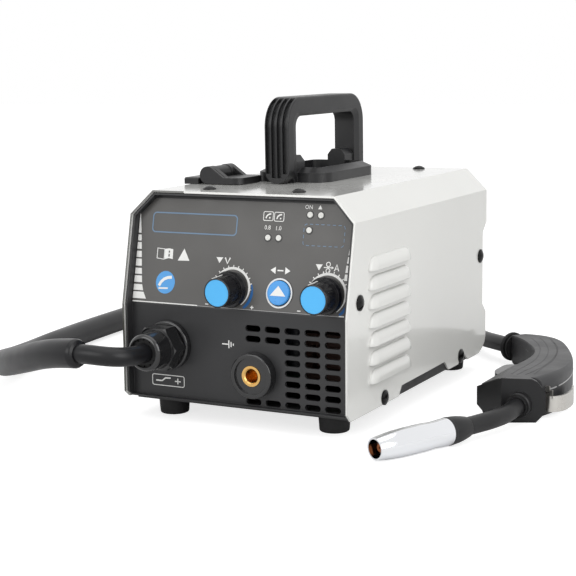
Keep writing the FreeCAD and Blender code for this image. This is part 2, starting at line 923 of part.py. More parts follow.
def knob(x):
    y = knob_axis_y() - 0.4
    z = floor + knob_height
    skirt = Part.makeCone(knob_skirt_radius, knob_skirt_radius - 0.8, knob_skirt_depth, V(x, y, z), -Y)
    rise = knob_length - knob_skirt_depth
    grip = Part.makeCone(knob_radius, knob_radius - 0.6, rise, V(x, y - knob_skirt_depth, z), -Y)
    front = [e for e in grip.Edges if e.BoundBox.YMax < y - knob_length + 0.01]
    grip = grip.makeFillet(0.8, front)
    body = skirt.fuse(grip)
    recess = rod(cap_radius, (x, y - knob_length - 1, z), (x, y - knob_length + cap_depth, z))
    bore = rod(shaft_radius + running_fit, (x, y + 1, z), (x, y - 10.5, z))
    flutes = []
    for i in range(18):
        a = 2 * math.pi * (i + 0.5) / 18
        px = x + (knob_radius + 0.4) * math.cos(a)
        pz = z + (knob_radius + 0.4) * math.sin(a)
        flutes.append(rod(0.9, (px, y - knob_skirt_depth - 0.01, pz), (px, y - knob_length + 2.5, pz)))
    return body.cut([recess, bore] + flutes).removeSplitter()


def knob_cap(x):
    y = knob_axis_y() - 0.4 - knob_length
    z = floor + knob_height
    return rod(cap_radius, (x, y + cap_depth, z), (x, y + 0.3, z))


def choose_button():
    start = face_point(button_x, button_height, -6)
    button = Part.makeCylinder(button_radius, 6 + label_thickness + button_out, start, face_normal)
    tip = face_point(button_x, button_height, label_thickness + button_out)
    edges = [e for e in button.Edges if (e.CenterOfMass - tip).Length < 0.1]
    return button.makeFillet(0.8, edges)


def pot_back_y():
    return front_top_y + 13.0


def control_board():
    y = pot_back_y()
    board = box(-20, inner_half - 9, y, y + board_thickness, floor + knob_height - 10, roof - board_top_gap)
    switch = box(button_x - 6, button_x + 6, y - 5, y, floor + button_height - 6, floor + button_height + 6)
    return join([board, switch])


def potentiometers():
    y = pot_back_y()
    z = floor + knob_height
    parts = []
    for x in knob_x:
        can = rod(8.0, (x, y, z), (x, y - 8, z))
        bush = rod(shaft_radius + body_clearance, (x, y - 8, z), (x, y - 12, z))
        shaft = rod(shaft_radius, (x, y - 12, z), (x, knob_axis_y() - 10, z))
        parts.append(join([can, bush, shaft]))
    return Part.makeCompound(parts)


def seat_y(z, radius):
    """Y where a flat flange rests on the lower face, which leans a little."""
    return front_y(z - radius, face_depth) - 0.05


def socket_body():
    z = floor + socket_height
    y = seat_y(z, socket_radius)
    flange = rod(socket_radius, (socket_x, y, z), (socket_x, y - socket_out, z))
    rims = [e for e in flange.Edges if e.BoundBox.YMax < y - socket_out + 0.01]
    flange = flange.makeFillet(1.2, rims)
    barrel = rod(contact_radius + 3, (socket_x, y - 1, z), (socket_x, y + 18, z))
    body = flange.fuse(barrel)
    recess = rod(socket_radius - 3.2, (socket_x, y - socket_out - 1, z), (socket_x, y - socket_out + 1.6, z))
    bore = rod(contact_radius, (socket_x, y - socket_out - 2, z), (socket_x, y + 30, z))
    return body.cut([recess, bore]).removeSplitter()


def socket_contact():
    z = floor + socket_height
    mouth = seat_y(z, socket_radius) - socket_out + 1.0
    contact = rod(contact_radius, (socket_x, mouth, z), (socket_x, mouth + contact_depth + 6, z))
    bore = rod(contact_bore, (socket_x, mouth - 1, z), (socket_x, mouth + contact_depth, z))
    lead_in = Part.makeCone(contact_bore + 0.8, contact_bore, 0.8, V(socket_x, mouth, z), Y)
    return contact.cut([bore, lead_in])


def hex_prism(across, x, z, y0, y1):
    r = across / math.sqrt(3)
    angles = [math.radians(a) for a in range(0, 360, 60)]
    points = [(x + r * math.cos(a), z + r * math.sin(a)) for a in angles]
    return prism_y(points, y0, y1)


def gland_body():
    face = seat_y(wire_z, gland_flange_radius)
    flange = rod(gland_flange_radius, (gland_x, face, wire_z), (gland_x, face - 5, wire_z))
    rims = [e for e in flange.Edges if e.BoundBox.YMax < face - 4.99]
    flange = flange.makeFillet(1.5, rims)
    stem = rod(nut_mouth_radius - 3, (gland_x, face - 1, wire_z), (gland_x, face + 20, wire_z))
    thread = rod(nut_mouth_radius - 1, (gland_x, face - 4, wire_z), (gland_x, face - 13, wire_z))
    body = join([flange, stem, thread])
    core_end = lead_route[0][1]
    inner = rod(cable_radius + cable_play, (gland_x, face - 14, wire_z), (gland_x, face - 8, wire_z))
    core = rod(cable_radius, (gland_x, face - 8, wire_z), (gland_x, core_end, wire_z))
    return body.cut(inner).fuse(core).removeSplitter()


def gland_nut():
    face = seat_y(wire_z, gland_flange_radius)
    start = face - 6
    mouth = face - gland_out
    hexagon = hex_prism(nut_across, gland_x, wire_z, start - 13, start)
    lathe = Part.makeCone(nut_across / 2 + 3.4, nut_across / 2 + 1.0, 2.0, V(gland_x, start - 11, wire_z), -Y)
    rest = rod(nut_across, (gland_x, start, wire_z), (gland_x, start - 11, wire_z))
    hexagon = hexagon.common(lathe.fuse(rest))
    shoulder = Part.makeCone(
        nut_across / 2 - 0.6, nut_mouth_radius, start - 13 - mouth, V(gland_x, start - 13, wire_z), -Y
    )
    rims = [e for e in shoulder.Edges if e.BoundBox.YMax < mouth + 0.01]
    shoulder = shoulder.makeFillet(3.0, rims)
    nut = hexagon.fuse(shoulder)
    thread_radius = nut_mouth_radius - 1 + running_fit
    thread = rod(thread_radius, (gland_x, start + 1, wire_z), (gland_x, start - 8, wire_z))
    bore = rod(nut_mouth_radius - 2.6, (gland_x, start, wire_z), (gland_x, mouth - 1, wire_z))
    return nut.cut([thread, bore]).removeSplitter()


def gland_seal():
    face = seat_y(wire_z, gland_flange_radius)
    mouth = face - gland_out
    ring = tube(
        nut_mouth_radius - 2.6,
        cable_radius + cable_play,
        (gland_x, mouth + 10, wire_z),
        (gland_x, mouth + 1.6, wire_z),
    )
    notches = []
    for i in range(12):
        a = 2 * math.pi * i / 12
        px = gland_x + 9.4 * math.cos(a)
        pz = wire_z + 9.4 * math.sin(a)
        notches.append(rod(0.7, (px, mouth + 5, pz), (px, mouth, pz)))
    return ring.cut(notches)


def power_board():
    board = box(2, 80, -88, 70, floor + 12, floor + 13.6)
    posts = [rod(3, (x, y, floor + sheet), (x, y, floor + 12)) for x in (8, 74) for y in (-80, 62)]
    return join([board] + posts)


def heatsinks():
    sinks = []
    z = floor + 13.6
    for x in (6.0, 54.0):
        parts = [box(x, x + 20, -30, 50, z, z + 5)]
        for i in range(5):
            parts.append(box(x + i * 4.6, x + i * 4.6 + 1.6, -30, 50, z + 5, z + 62))
        sinks.append(join(parts))
    return Part.makeCompound(sinks)


def transformer():
    z = floor + 13.6
    core = box(28, 66, -84, -44, z, z + 34).cut(box(36, 58, -90, -40, z + 8, z + 26))
    coil = box(36.3, 57.7, -78, -50, z + 8.3, z + 25.7)
    return join([core, coil, box(33, 61, -76, -52, z + 34, z + 40)])


def capacitors():
    z = floor + 13.6
    cans = [rod(10, (x, y, z), (x, y, z + 38)) for x, y in ((38, -12), (38, 16), (38, 44), (12, -62))]
    return Part.makeCompound(cans)


def fan_frame():
    h = fan_size / 2
    frame = box(fan_x - h, fan_x + h, rear_fan_y, rear_panel_y, fan_z - h, fan_z + h)
    bore = rod(fan_bore, (fan_x, rear_fan_y - 1, fan_z), (fan_x, rear_panel_y + 1, fan_z))
    frame = frame.cut(bore)
    hub_y = rear_panel_y - 4
    hub = rod(fan_hub, (fan_x, hub_y, fan_z), (fan_x, rear_panel_y, fan_z))
    shaft = rod(axle_radius, (fan_x, hub_y, fan_z), (fan_x, rear_fan_y + 5, fan_z))
    struts = []
    for dx, dz in ((1, 0), (-1, 0), (0, 1), (0, -1)):
        reach = fan_bore + 1
        struts.append(box(
            fan_x + min(0, dx) * reach - (2.5 if not dx else 0),
            fan_x + max(0, dx) * reach + (2.5 if not dx else 0),
            hub_y, rear_panel_y,
            fan_z + min(0, dz) * reach - (2.5 if not dz else 0),
            fan_z + max(0, dz) * reach + (2.5 if not dz else 0),
        ))
    return join([frame, hub] + struts + [shaft])


def fan_rotor():
    y0 = rear_fan_y + 3
    y1 = rear_panel_y - 5
    hub = rod(fan_hub, (fan_x, y0, fan_z), (fan_x, y1, fan_z))
    blades = []
    for i in range(blade_count):
        blade = box(fan_hub - 2, fan_bore - blade_gap, -8.0, 8.0, -0.8, 0.8)
        blade.rotate(V(0, 0, 0), X, 38)
        blade.rotate(V(0, 0, 0), Y, 360.0 * i / blade_count)
        blade.translate(V(fan_x, (y0 + y1) / 2, fan_z))
        blades.append(blade)
    rotor = join([hub] + blades)
    rotor = rotor.common(rod(fan_bore - blade_gap, (fan_x, y0, fan_z), (fan_x, y1, fan_z)))
    return rotor.cut(rod(axle_radius + running_fit, (fan_x, y0 + 1.2, fan_z), (fan_x, y1 + 1, fan_z)))


def rocker_pivot():
    return V(rocker_x, rear_panel_y + 0.5, roof - rocker_drop)


def switch_housing():
    z = roof - rocker_drop
    w = rocker_width / 2
    h = rocker_tall / 2
    y = rear_panel_y
    body = box(rocker_x - w, rocker_x + w, y - 20, y + sheet, z - h, z + h)
    bezel = box(rocker_x - w - 2, rocker_x + w + 2, y + sheet, y + sheet + 1.6, z - h - 2, z + h + 2)
    cavity = box(rocker_x - w + 2, rocker_x + w - 2, y - 11, y + 10, z - h + 2, z + h - 2)
    housing = body.fuse(bezel).cut(cavity)
    p = rocker_pivot()
    pin = rod(1.5, (rocker_x - w + 1, p.y, p.z), (rocker_x + w - 1, p.y, p.z))
    return join([housing, pin])


def power_rocker():
    p = rocker_pivot()
    w = rocker_width / 2 - 2 - body_clearance
    reach = rocker_tall / 2 - 3.2
    side = [
        (p.y - 5, p.z - reach + 4), (p.y + 2.2, p.z - reach), (p.y + 5.6, p.z - reach),
        (p.y + 3.4, p.z), (p.y + 5.6, p.z + reach), (p.y + 2.2, p.z + reach), (p.y - 5, p.z + reach - 4),
    ]
    rocker = prism_x(side, p.x - w, p.x + w)
    rocker.rotate(p, X, rocker_tilt)
    return rocker.cut(rod(1.5 + running_fit, (p.x - 30, p.y, p.z), (p.x + 30, p.y, p.z)))


def mains_gland():
    z = floor + inlet_height
    y = rear_panel_y + sheet
    flange = hex_prism(22, inlet_x, z, y, y + 5)
    stem = rod(inlet_radius, (inlet_x, y - 12, z), (inlet_x, y + 1, z))
    nut = hex_prism(20, inlet_x, z, y + 5, y + 11)
    nose = Part.makeCone(9.2, 7.0, 6, V(inlet_x, y + 11, z), Y)
    gland = join([flange, stem, nut, nose])
    return gland.cut(rod(4.5, (inlet_x, y - 20, z), (inlet_x, y + 30, z)))


def spool_ends():
    right = divider_x - sheet / 2 - 3.5
    return right - spool_width, right


def wire_spool():
    x0, x1 = spool_ends()
    flanges = [
        rod(spool_radius, (x0, spool_y, spool_z), (x0 + spool_flange, spool_y, spool_z)),
        rod(spool_radius, (x1 - spool_flange, spool_y, spool_z), (x1, spool_y, spool_z)),
    ]
    pack = rod(wire_pack_radius, (x0, spool_y, spool_z), (x1, spool_y, spool_z))
    spool = join([pack] + flanges)
    bore = rod(spindle_radius + running_fit, (x0 - 1, spool_y, spool_z), (x1 + 1, spool_y, spool_z))
    cups = []
    for a, b in ((x0 - 1, x0 + 8), (x1 - 8, x1 + 1)):
        cup = tube(spool_core_radius, spindle_radius + 4, (a, spool_y, spool_z), (b, spool_y, spool_z))
        cups.append(cup)
    return spool.cut([bore] + cups)


def spool_spindle():
    x0, x1 = spool_ends()
    wall = divider_x - sheet / 2
    axle = rod(spindle_radius, (wall, spool_y, spool_z), (x0 - 8, spool_y, spool_z))
    foot = rod(20, (wall, spool_y, spool_z), (wall - 3.0, spool_y, spool_z))
    return join([axle, foot])


def spool_retainer():
    x0, x1 = spool_ends()
    cup = rod(15, (x0 - 0.5, spool_y, spool_z), (x0 - 9.5, spool_y, spool_z))
    grips = [box(x0 - 9.5, x0 - 2, spool_y - 18, spool_y + 18, spool_z - 3, spool_z + 3)]
    hole = rod(spindle_radius, (x0 + 1, spool_y, spool_z), (x0 - 8, spool_y, spool_z))
    return join([cup] + grips).cut(hole)


def plate_x():
    """X of the feeder plate's face on the roller side."""
    return wire_x + roller_width / 2 + 3.0


def roller_z():
    return wire_z - roller_radius


def idler_z():
    return wire_z + roller_gap + idler_radius


def arm_pivot_z():
    return idler_z() + 11.0


def feeder_base():
    x = plate_x()
    y = roller_y
    z = roller_z()
    plate = box(x, x + 4, y - 24, arm_pivot_y + 8, z - 18, arm_pivot_z() + 6)
    plate = plate.cut(box(x - 1, x + 5, y - 30, y - 14, idler_z() - 5, arm_pivot_z() + 10))
    plate = plate.cut(rod(axle_radius + 1.0, (x - 1, y, z), (x + 5, y, z)))
    foot = box(x, divider_x - sheet / 2, y - 18, arm_pivot_y + 4, z - 18, z - 16.5)
    post = rod(2.5, (x, arm_pivot_y, arm_pivot_z()), (wire_x - 9.5, arm_pivot_y, arm_pivot_z()))
    head = rod(4.0, (wire_x - 8.9, arm_pivot_y, arm_pivot_z()), (wire_x - 10.5, arm_pivot_y, arm_pivot_z()))
    seat = box(wire_x - 5, x + 2, y - 24, y - 19, wire_z + 4, wire_z + 8)
    return join([plate, foot, post, head, seat])


def feeder_motor():
    x = plate_x() + 4
    can = rod(motor_radius, (x, roller_y, roller_z()), (divider_x - sheet / 2, roller_y, roller_z()))
    shaft_end = wire_x - roller_width / 2 - 1.5
    shaft = rod(axle_radius, (x, roller_y, roller_z()), (shaft_end, roller_y, roller_z()))
    return join([can, shaft])


def drive_roller():
    z = roller_z()
    x0 = wire_x - roller_width / 2
    x1 = wire_x + roller_width / 2
    roller = rod(roller_radius, (x0, roller_y, z), (x1, roller_y, z))
    side_a = (wire_x - 0.6, roller_y, z)
    side_b = (wire_x + 0.6, roller_y, z)
    groove = tube(roller_radius + 1, roller_radius - 0.5, side_a, side_b)
    lighten = []
    for i in range(5):
        a = 2 * math.pi * i / 5
        py = roller_y + 7.2 * math.cos(a)
        pz = z + 7.2 * math.sin(a)
        lighten.append(rod(1.7, (x0 - 1, py, pz), (x1 + 1, py, pz)))
    bore = rod(axle_radius + running_fit, (x0 - 1, roller_y, z), (x1 + 1, roller_y, z))
    return roller.cut([groove, bore] + lighten)


def idler_roller():
    x0 = wire_x - roller_width / 2
    x1 = wire_x + roller_width / 2
    roller = rod(idler_radius, (x0, roller_y, idler_z()), (x1, roller_y, idler_z()))
    z = idler_z()
    return roller.cut(rod(axle_radius + running_fit, (x0 - 1, roller_y, z), (x1 + 1, roller_y, z)))


def pressure_arm():
    z = arm_pivot_z()
    x0 = wire_x - 7.6
    x1 = wire_x + 7.0
    bar = box(x0, x1, roller_y - 26, arm_pivot_y + 6, z - 4, z + 5)
    inner = wire_x - roller_width / 2 - 0.6
    cheeks = [
        box(x0, inner, roller_y - 5, roller_y + 5, idler_z() - 5, z),
        box(wire_x + roller_width / 2 + 0.6, x1, roller_y - 5, roller_y + 5, idler_z() - 5, z),
    ]
    axle = rod(axle_radius, (x0, roller_y, idler_z()), (x1, roller_y, idler_z()))
    well_end = wire_x + roller_width / 2 + 0.6
    well = rod(idler_radius + 1.0, (inner, roller_y, idler_z()), (well_end, roller_y, idler_z()))
    arm = join([bar] + cheeks).cut(well)
    arm = join([arm, axle])
    arm = arm.cut(rod(2.5 + running_fit, (x0 - 1, arm_pivot_y, z), (x1 + 1, arm_pivot_y, z)))
    return arm.cut(rod(2.5 + running_fit, (wire_x, roller_y - 20, z - 10), (wire_x, roller_y - 20, z + 10)))


def tension_knob():
    z = arm_pivot_z()
    y = roller_y - 20
    stud = rod(2.5, (wire_x, y, z - 9), (wire_x, y, z + 12))
    grip = rod(7.0, (wire_x, y, z + 5.4), (wire_x, y, z + 22))
    flutes = []
    for i in range(12):
        a = 2 * math.pi * i / 12
        px = wire_x + 7.4 * math.cos(a)
        py = y + 7.4 * math.sin(a)
        flutes.append(rod(0.9, (px, py, z + 7), (px, py, z + 23)))
    return join([stud, grip]).cut(flutes)


def wire_inlet_guide():
    y0 = arm_pivot_y + 6.5
    block = box(wire_x - 4, plate_x(), y0 - 1, y0 + 5, wire_z - 4, wire_z + 4)
    nose = Part.makeCone(4, 2.2, 9, V(wire_x, y0 + 5, wire_z), Y)
    front = box(wire_x - 4, plate_x(), roller_y - 20, roller_y - 13, wire_z - 4, wire_z + 3)
    guide = Part.makeCompound([join([block, nose]), front])
    return guide.cut(rod(0.8, (wire_x, -200, wire_z), (wire_x, 200, wire_z)))


def fillet_points(points):
    """Straight runs and tangent arcs through the points, with the arcs' radii."""
    pts = [V(*p) for p in points]
    edges = []
    radii = []
    last = pts[0]
    for i in range(1, len(pts) - 1):
        a = pts[i - 1] - pts[i]
        b = pts[i + 1] - pts[i]
        reach = 0.45 * min(a.Length, b.Length)
        turn = math.pi - a.getAngle(b)
        radius = reach / math.tan(turn / 2)
        a.normalize()
        b.normalize()
        start = pts[i] + a * reach
        end = pts[i] + b * reach
        inward = a + b
        inward.normalize()
        middle = pts[i] + inward * (radius / math.cos(turn / 2) - radius)
        edges.append(Part.LineSegment(last, start).toShape())
        edges.append(Part.Arc(start, middle, end).toShape())
        radii.append(radius)
        last = end
    edges.append(Part.LineSegment(last, pts[-1]).toShape())
    return Part.Wire(edges), radii


def swept(points, radius):
    wire, radii = fillet_points(points)
    start = V(*points[0])
    way = V(*points[1]) - start
    way.normalize()
    ring = Part.Wire(Part.Circle(start, way, radius).toShape())
    return wire.makePipeShell([ring], True, False), wire, radii


def torch_cable():
    cable, wire, radii = swept(lead_route, cable_radius)
    drawn = math.pi * cable_radius ** 2 * wire.Length
    print("lead length %.0f mm, volume over section times length %.4f" % (wire.Length, cable.Volume / drawn))
    print("lead bend radii", " ".join("%.0f" % r for r in radii))
    return cable


def sleeve_arcs(radius):
    """The sleeve follows the lead's own arcs, from the middle of one of its runs to the middle of another."""
    wire, radii = fillet_points(lead_route)
    edges = wire.OrderedEdges
    pts = [V(*p) for p in lead_route]
    one = before_sleeve_count
    end = one + sleeve_run_count
    first = (pts[one] + pts[one + 1]) * 0.5
    last = (pts[end] + pts[end + 1]) * 0.5
    chosen = edges[2 * one + 1:2 * end]
    head = Part.LineSegment(first, chosen[0].Vertexes[0].Point).toShape()
    tail = Part.LineSegment(chosen[-1].Vertexes[-1].Point, last).toShape()
    path = Part.Wire([head] + chosen + [tail])
    way = pts[one + 1] - first
    way.normalize()
    ring = Part.Wire(Part.Circle(first, way, radius).toShape())
    return path.makePipeShell([ring], True, False)


def cable_sleeve():
    return sleeve_arcs(sleeve_radius).cut(sleeve_arcs(cable_radius + sleeve_play))


def rear_frame():
    """Where the lead enters the torch, and the way it points there."""
    start = V(*lead_route[-1])
    way = start - V(*lead_route[-2])
    way.normalize()
    return start, way, way.cross(Z)


def torch_boot():
    """Flange and tube between the lead and the torch handle."""
    start, way = rear_frame()[:2]
    flange = Part.makeCylinder(boot_radius, boot_flange, start, way)
    rims = [e for e in flange.Edges if e.Curve.TypeId == "Part::GeomCircle"]
    flange = flange.makeFillet(1.0, rims)
    ring = Part.makeCylinder(boot_tube + 1.2, 2.0, start + way * (boot_flange + 1.4), way)
    tube_part = Part.makeCylinder(boot_tube, boot_length, start, way)
    return join([flange, ring, tube_part])


def guard_frame():
    """Lower right corner of the guard's front, the way along it and the way back from it."""
    turn = math.radians(guard_turn)
    across = V(math.cos(turn), math.sin(turn), 0)
    back = V(-math.sin(turn), math.cos(turn), 0)
    return V(guard_corner[0], guard_corner[1], 0), across, back


def guard_point(along, behind=0.0, z=0.0):
    corner, across, back = guard_frame()
    return corner + across * along + back * behind + Z * z


def wing_frame():
    """The fold where the wing starts, the wing's far end and the way back from the wing."""
    fold = guard_point(guard_face[0][0])
    end = V(guard_wing_end[0], guard_wing_end[1], 0)
    along = end - fold
    along.normalize()
    back = Z.cross(along) * -1
    return fold, end, back


def handle_plan():
    """Closed plan outline of the handle: two curved sides between the boot and the guard."""
    start, way, side = rear_frame()
    base = V(start.x, start.y, 0) + way * boot_length
    outer = [base - side * handle_rear_outer] + [V(x, y, 0) for x, y in torch_outer]
    inner = [base + side * handle_rear_inner] + [V(x, y, 0) for x, y in torch_inner]
    edges = []
    for row in (outer, inner):
        curve = Part.BSplineCurve()
        curve.interpolate(row)
        edges.append(curve.toShape())
    edges.append(Part.LineSegment(outer[0], inner[0]).toShape())
    edges.append(Part.LineSegment(outer[-1], inner[-1]).toShape())
    return Part.Wire(Part.__sortEdges__(edges))


def room_before_guard():
    """Everything in front of the back of the guard, which the handle leaves to it."""
    fold, end, wing_back = wing_frame()
    back = guard_frame()[2]
    deep = guard_depth + guard_step
    inner_fold = fold + (back + wing_back) * (guard_depth / (1 + back.dot(wing_back)))
    away = end - fold
    away.normalize()
    line = [
        guard_point(40.0, deep),
        guard_point(guard_step_start, deep),
        guard_point(guard_step_start, guard_depth),
        inner_fold,
        end + wing_back * guard_depth + away * 40,
    ]
    outline = [(p.x, p.y) for p in line] + [(90.0, -150.0), (260.0, -150.0)]
    return prism_z(outline, -1, torch_thickness + 10)


def top_slope():
    """What is cut off the handle's and the guard's top towards the wing's far end."""
    fold, end = wing_frame()[:2]
    low = end + Z * guard_wing_top
    high = fold + Z * guard_height
    rear = V(154.5, 15.0, torch_thickness)
    normal = (high - low).cross(rear - low)
    normal.normalize()
    if normal.z < 0:
        normal = normal * -1
    along = high - low
    along.normalize()
    across = normal.cross(along)
    corners = [low + along * a + across * b for a, b in ((-60, -80), (60, -80), (60, 80), (-60, 80))]
    return prism([tuple(c) for c in corners], normal * 40)


def handle_solid():
    body = Part.Face(handle_plan()).extrude(Z * torch_thickness)
    edges = []
    for e in body.Edges:
        level = e.BoundBox.ZMin < 0.01 and e.BoundBox.ZMax < 0.01
        level = level or e.BoundBox.ZMin > torch_thickness - 0.01
        if level and e.Curve.TypeId == "Part::GeomBSplineCurve":
            edges.append(e)
    body = body.makeFillet(torch_edge, edges)
    z0 = torch_mid_z - trigger_width / 2 - trigger_play
    z1 = torch_mid_z + trigger_width / 2 + trigger_play
    x1 = trigger_x + trigger_depth + trigger_throw + 1.0
    pocket = box(100, x1, trigger_y[0] - trigger_play, trigger_y[1] + trigger_play, z0, z1)
    falling = [(0.0, torch_thickness), (170.0, torch_thickness - torch_rear_drop), (170.0, 60.0), (0.0, 60.0)]
    above = prism_x(falling, 80.0, 220.0)
    return body.cut([pocket, top_slope(), room_before_guard(), above])


def trigger_pivot():
    return V(trigger_x + trigger_depth - 2.6, trigger_y[0] + 4.0, torch_mid_z)


def torch_handle_upper():
    return handle_solid().common(wide_box(torch_split, torch_thickness))


def torch_handle_lower():
    shell = handle_solid().common(wide_box(0, torch_split))
    p = trigger_pivot()
    low = torch_mid_z - trigger_width / 2 - trigger_play - 1
    pin = rod(1.2, (p.x, p.y, low), (p.x, p.y, torch_mid_z + trigger_width / 2 + trigger_play))
    return join([shell, pin]).cut(torch_neck())


def torch_trigger():
    y0, y1 = trigger_y
    x = trigger_x
    d = trigger_depth
    plan = [
        (x + d, y0), (x + d - 5.0, y0), (x + 4.0, y0 + 11), (x + 0.6, y0 + 19), (x, y0 + 24),
        (x + 0.2, y1 - 8), (x + 1.6, y1 - 2.5), (x + 5.0, y1), (x + d, y1),
    ]
    z0 = torch_mid_z - trigger_width / 2
    trigger = prism_z(plan, z0, z0 + trigger_width)
    p = trigger_pivot()
    return trigger.cut(rod(1.2 + running_fit, (p.x, p.y, 0), (p.x, p.y, 40)))


def guard_block():
    """Folded plate in front of the hand, with a step behind its right end."""
    back = guard_frame()[2]
    fold, end, wing_back = wing_frame()
    face = [guard_point(a, 0.0, z) for a, z in guard_face]
    main = Part.Face(Part.makePolygon(face + face[:1])).extrude(back * guard_depth)
    a = guard_step_start
    step_shape = [(a, 2.0), (0.0, 2.0), (4.6, 8.0), (4.6, 19.0), (2.2, 24.2), (a, 28.0)]
    step = [guard_point(a, guard_depth - 0.01, z) for a, z in step_shape]
    behind = Part.Face(Part.makePolygon(step + step[:1])).extrude(back * guard_step)
    along = end - fold
    along.normalize()
    foot = end - along * guard_wing_foot
    shape = [
        fold, fold + Z * guard_height, end + Z * guard_wing_top, end + Z * guard_wing_low, foot,
    ]
    wing = Part.Face(Part.makePolygon(shape + shape[:1])).extrude(wing_back * guard_depth)
    filler = prism_z([
        (fold.x, fold.y),
        (fold.x + back.x * guard_depth, fold.y + back.y * guard_depth),
        (fold.x + wing_back.x * guard_depth, fold.y + wing_back.y * guard_depth),
    ], 0, guard_height)
    return join([main, behind, wing, filler])


def torch_hand_guard():
    root, way = neck_start()
    ring = Part.makeCylinder(root_ring_radius, root_ring_out + 2, root - way * 2, way)
    inner = Part.makeCylinder(neck_radius + 1.4, root_ring_out + 3.6, root - way * 2, way)
    rims = [e for e in ring.Edges if (e.CenterOfMass - (root + way * root_ring_out)).Length < 0.1]
    ring = ring.makeChamfer(0.8, rims)
    rings = ring.fuse(inner).cut(wide_box(-20, 0.0))
    return join([guard_block(), rings]).cut([handle_solid(), torch_neck()])


def neck_start():
    root = guard_point(neck_root[0], 0.0, neck_root[1])
    way = V(*neck_points[0]) - root
    way.normalize()
    return root, way


def torch_neck():
    root, way = neck_start()
    points = [tuple(root - way * 2.5)] + list(neck_points)
    last = V(*nozzle_start) - nozzle_way() * (collar_length - 6)
    points.append(tuple(last))
    return swept(points, neck_radius)[0]


def nozzle_way():
    way = V(*nozzle_end) - V(*nozzle_start)
    way.normalize()
    return way


def turned(profile, start, way):
    """Solid of revolution: profile gives (distance along, radius) points from end to end."""
    curve = Part.BSplineCurve()
    curve.interpolate([V(r, 0, a) for a, r in profile])
    first = profile[0]
    last = profile[-1]
    lines = [
        Part.LineSegment(V(0, 0, first[0]), V(first[1], 0, first[0])).toShape(),
        curve.toShape(),
        Part.LineSegment(V(last[1], 0, last[0]), V(0, 0, last[0])).toShape(),
        Part.LineSegment(V(0, 0, last[0]), V(0, 0, first[0])).toShape(),
    ]
    solid = Part.Face(Part.Wire(lines)).revolve(V(0, 0, 0), Z, 360)
    if solid.Volume < 0:
        solid.reverse()
    solid.Placement = FreeCAD.Placement(start, FreeCAD.Rotation(Z, way))
    return solid


def torch_collar():
    way = nozzle_way()
    start = V(*nozzle_start)
    lip = Part.makeCylinder(collar_radius, collar_lip, start - way * collar_lip, way)
    r0 = collar_small
    r1 = collar_radius - 0.2
    span = collar_length - collar_lip
    grow = r1 - r0
    profile = [(0.0, r0), (span * 0.3, r0 + 0.5 * grow), (span * 0.65, r1 - 0.12 * grow), (span, r1)]
    body = turned(profile, start - way * collar_length, way)
    core = Part.makeCylinder(nozzle_bore, nozzle_core, start, way)
    return join([lip, body, core]).cut(torch_neck())


def torch_nozzle():
    way = nozzle_way()
    start = V(*nozzle_start)
    length = (V(*nozzle_end) - start).Length
    profile = [(a * length / nozzle_profile[-1][0], r) for a, r in nozzle_profile]
    outer = turned(profile, start, way)
    deep = 0.7 * length
    inner = Part.makeCylinder(nozzle_bore, deep, start, way)
    taper = Part.makeCone(nozzle_bore, nozzle_mouth_bore, length - deep, start + way * deep, way)
    return outer.cut([inner, taper])


def torch_tip():
    way = nozzle_way()
    start = V(*nozzle_start) + way * nozzle_core
    length = (V(*nozzle_end) - V(*nozzle_start)).Length - nozzle_core - tip_recess
    holder = Part.makeCylinder(tip_radius + 1.5, length * 0.45, start, way)
    tip = Part.makeCylinder(tip_radius, length, start, way)
    nose = [e for e in tip.Edges if (e.CenterOfMass - (start + way * length)).Length < 0.1]
    tip = tip.makeChamfer(1.4, nose)
    bore = Part.makeCylinder(tip_bore, length + 2, start, way)
    return holder.fuse(tip).cut(bore).removeSplitter()


def torch_hook():
    """Flat strip bent into an open hook, standing on edge beside the handle."""
    pts = [V(x, y, 0) for x, y in hook_points]
    curve = Part.BSplineCurve()
    curve.interpolate(pts)
    centre = curve.discretize(25)
    left = []
    right = []
    for i, p in enumerate(centre):
        a = centre[max(i - 1, 0)]
        b = centre[min(i + 1, len(centre) - 1)]
        way = b - a
        way.normalize()
        side = way.cross(Z) * (hook_strip / 2)
        left.append(p + side)
        right.append(p - side)
    sides = []
    for row in (left, right):
        edge = Part.BSplineCurve()
        edge.interpolate(row)
        sides.append(edge.toShape())
    ends = [Part.LineSegment(left[0], right[0]).toShape(), Part.LineSegment(left[-1], right[-1]).toShape()]
    face = Part.Face(Part.Wire(Part.__sortEdges__([sides[0], ends[1], sides[1], ends[0]])))
    strip = face.extrude(Z * hook_width).translated(Z * hook_low)
    x0, x1, y0, y1 = hook_tab
    z0 = hook_low + hook_width
    tab = box(x0, x1, y0, y1, z0 - 2, hook_tab_top)
    notch = box(x1 - 2.2, x1 + 1, y0 - 1, y1 + 1, hook_tab_top - 2.6, hook_tab_top + 1)
    strip = join([strip, tab.cut(notch)])
    return strip.cut([guard_block(), handle_solid()])


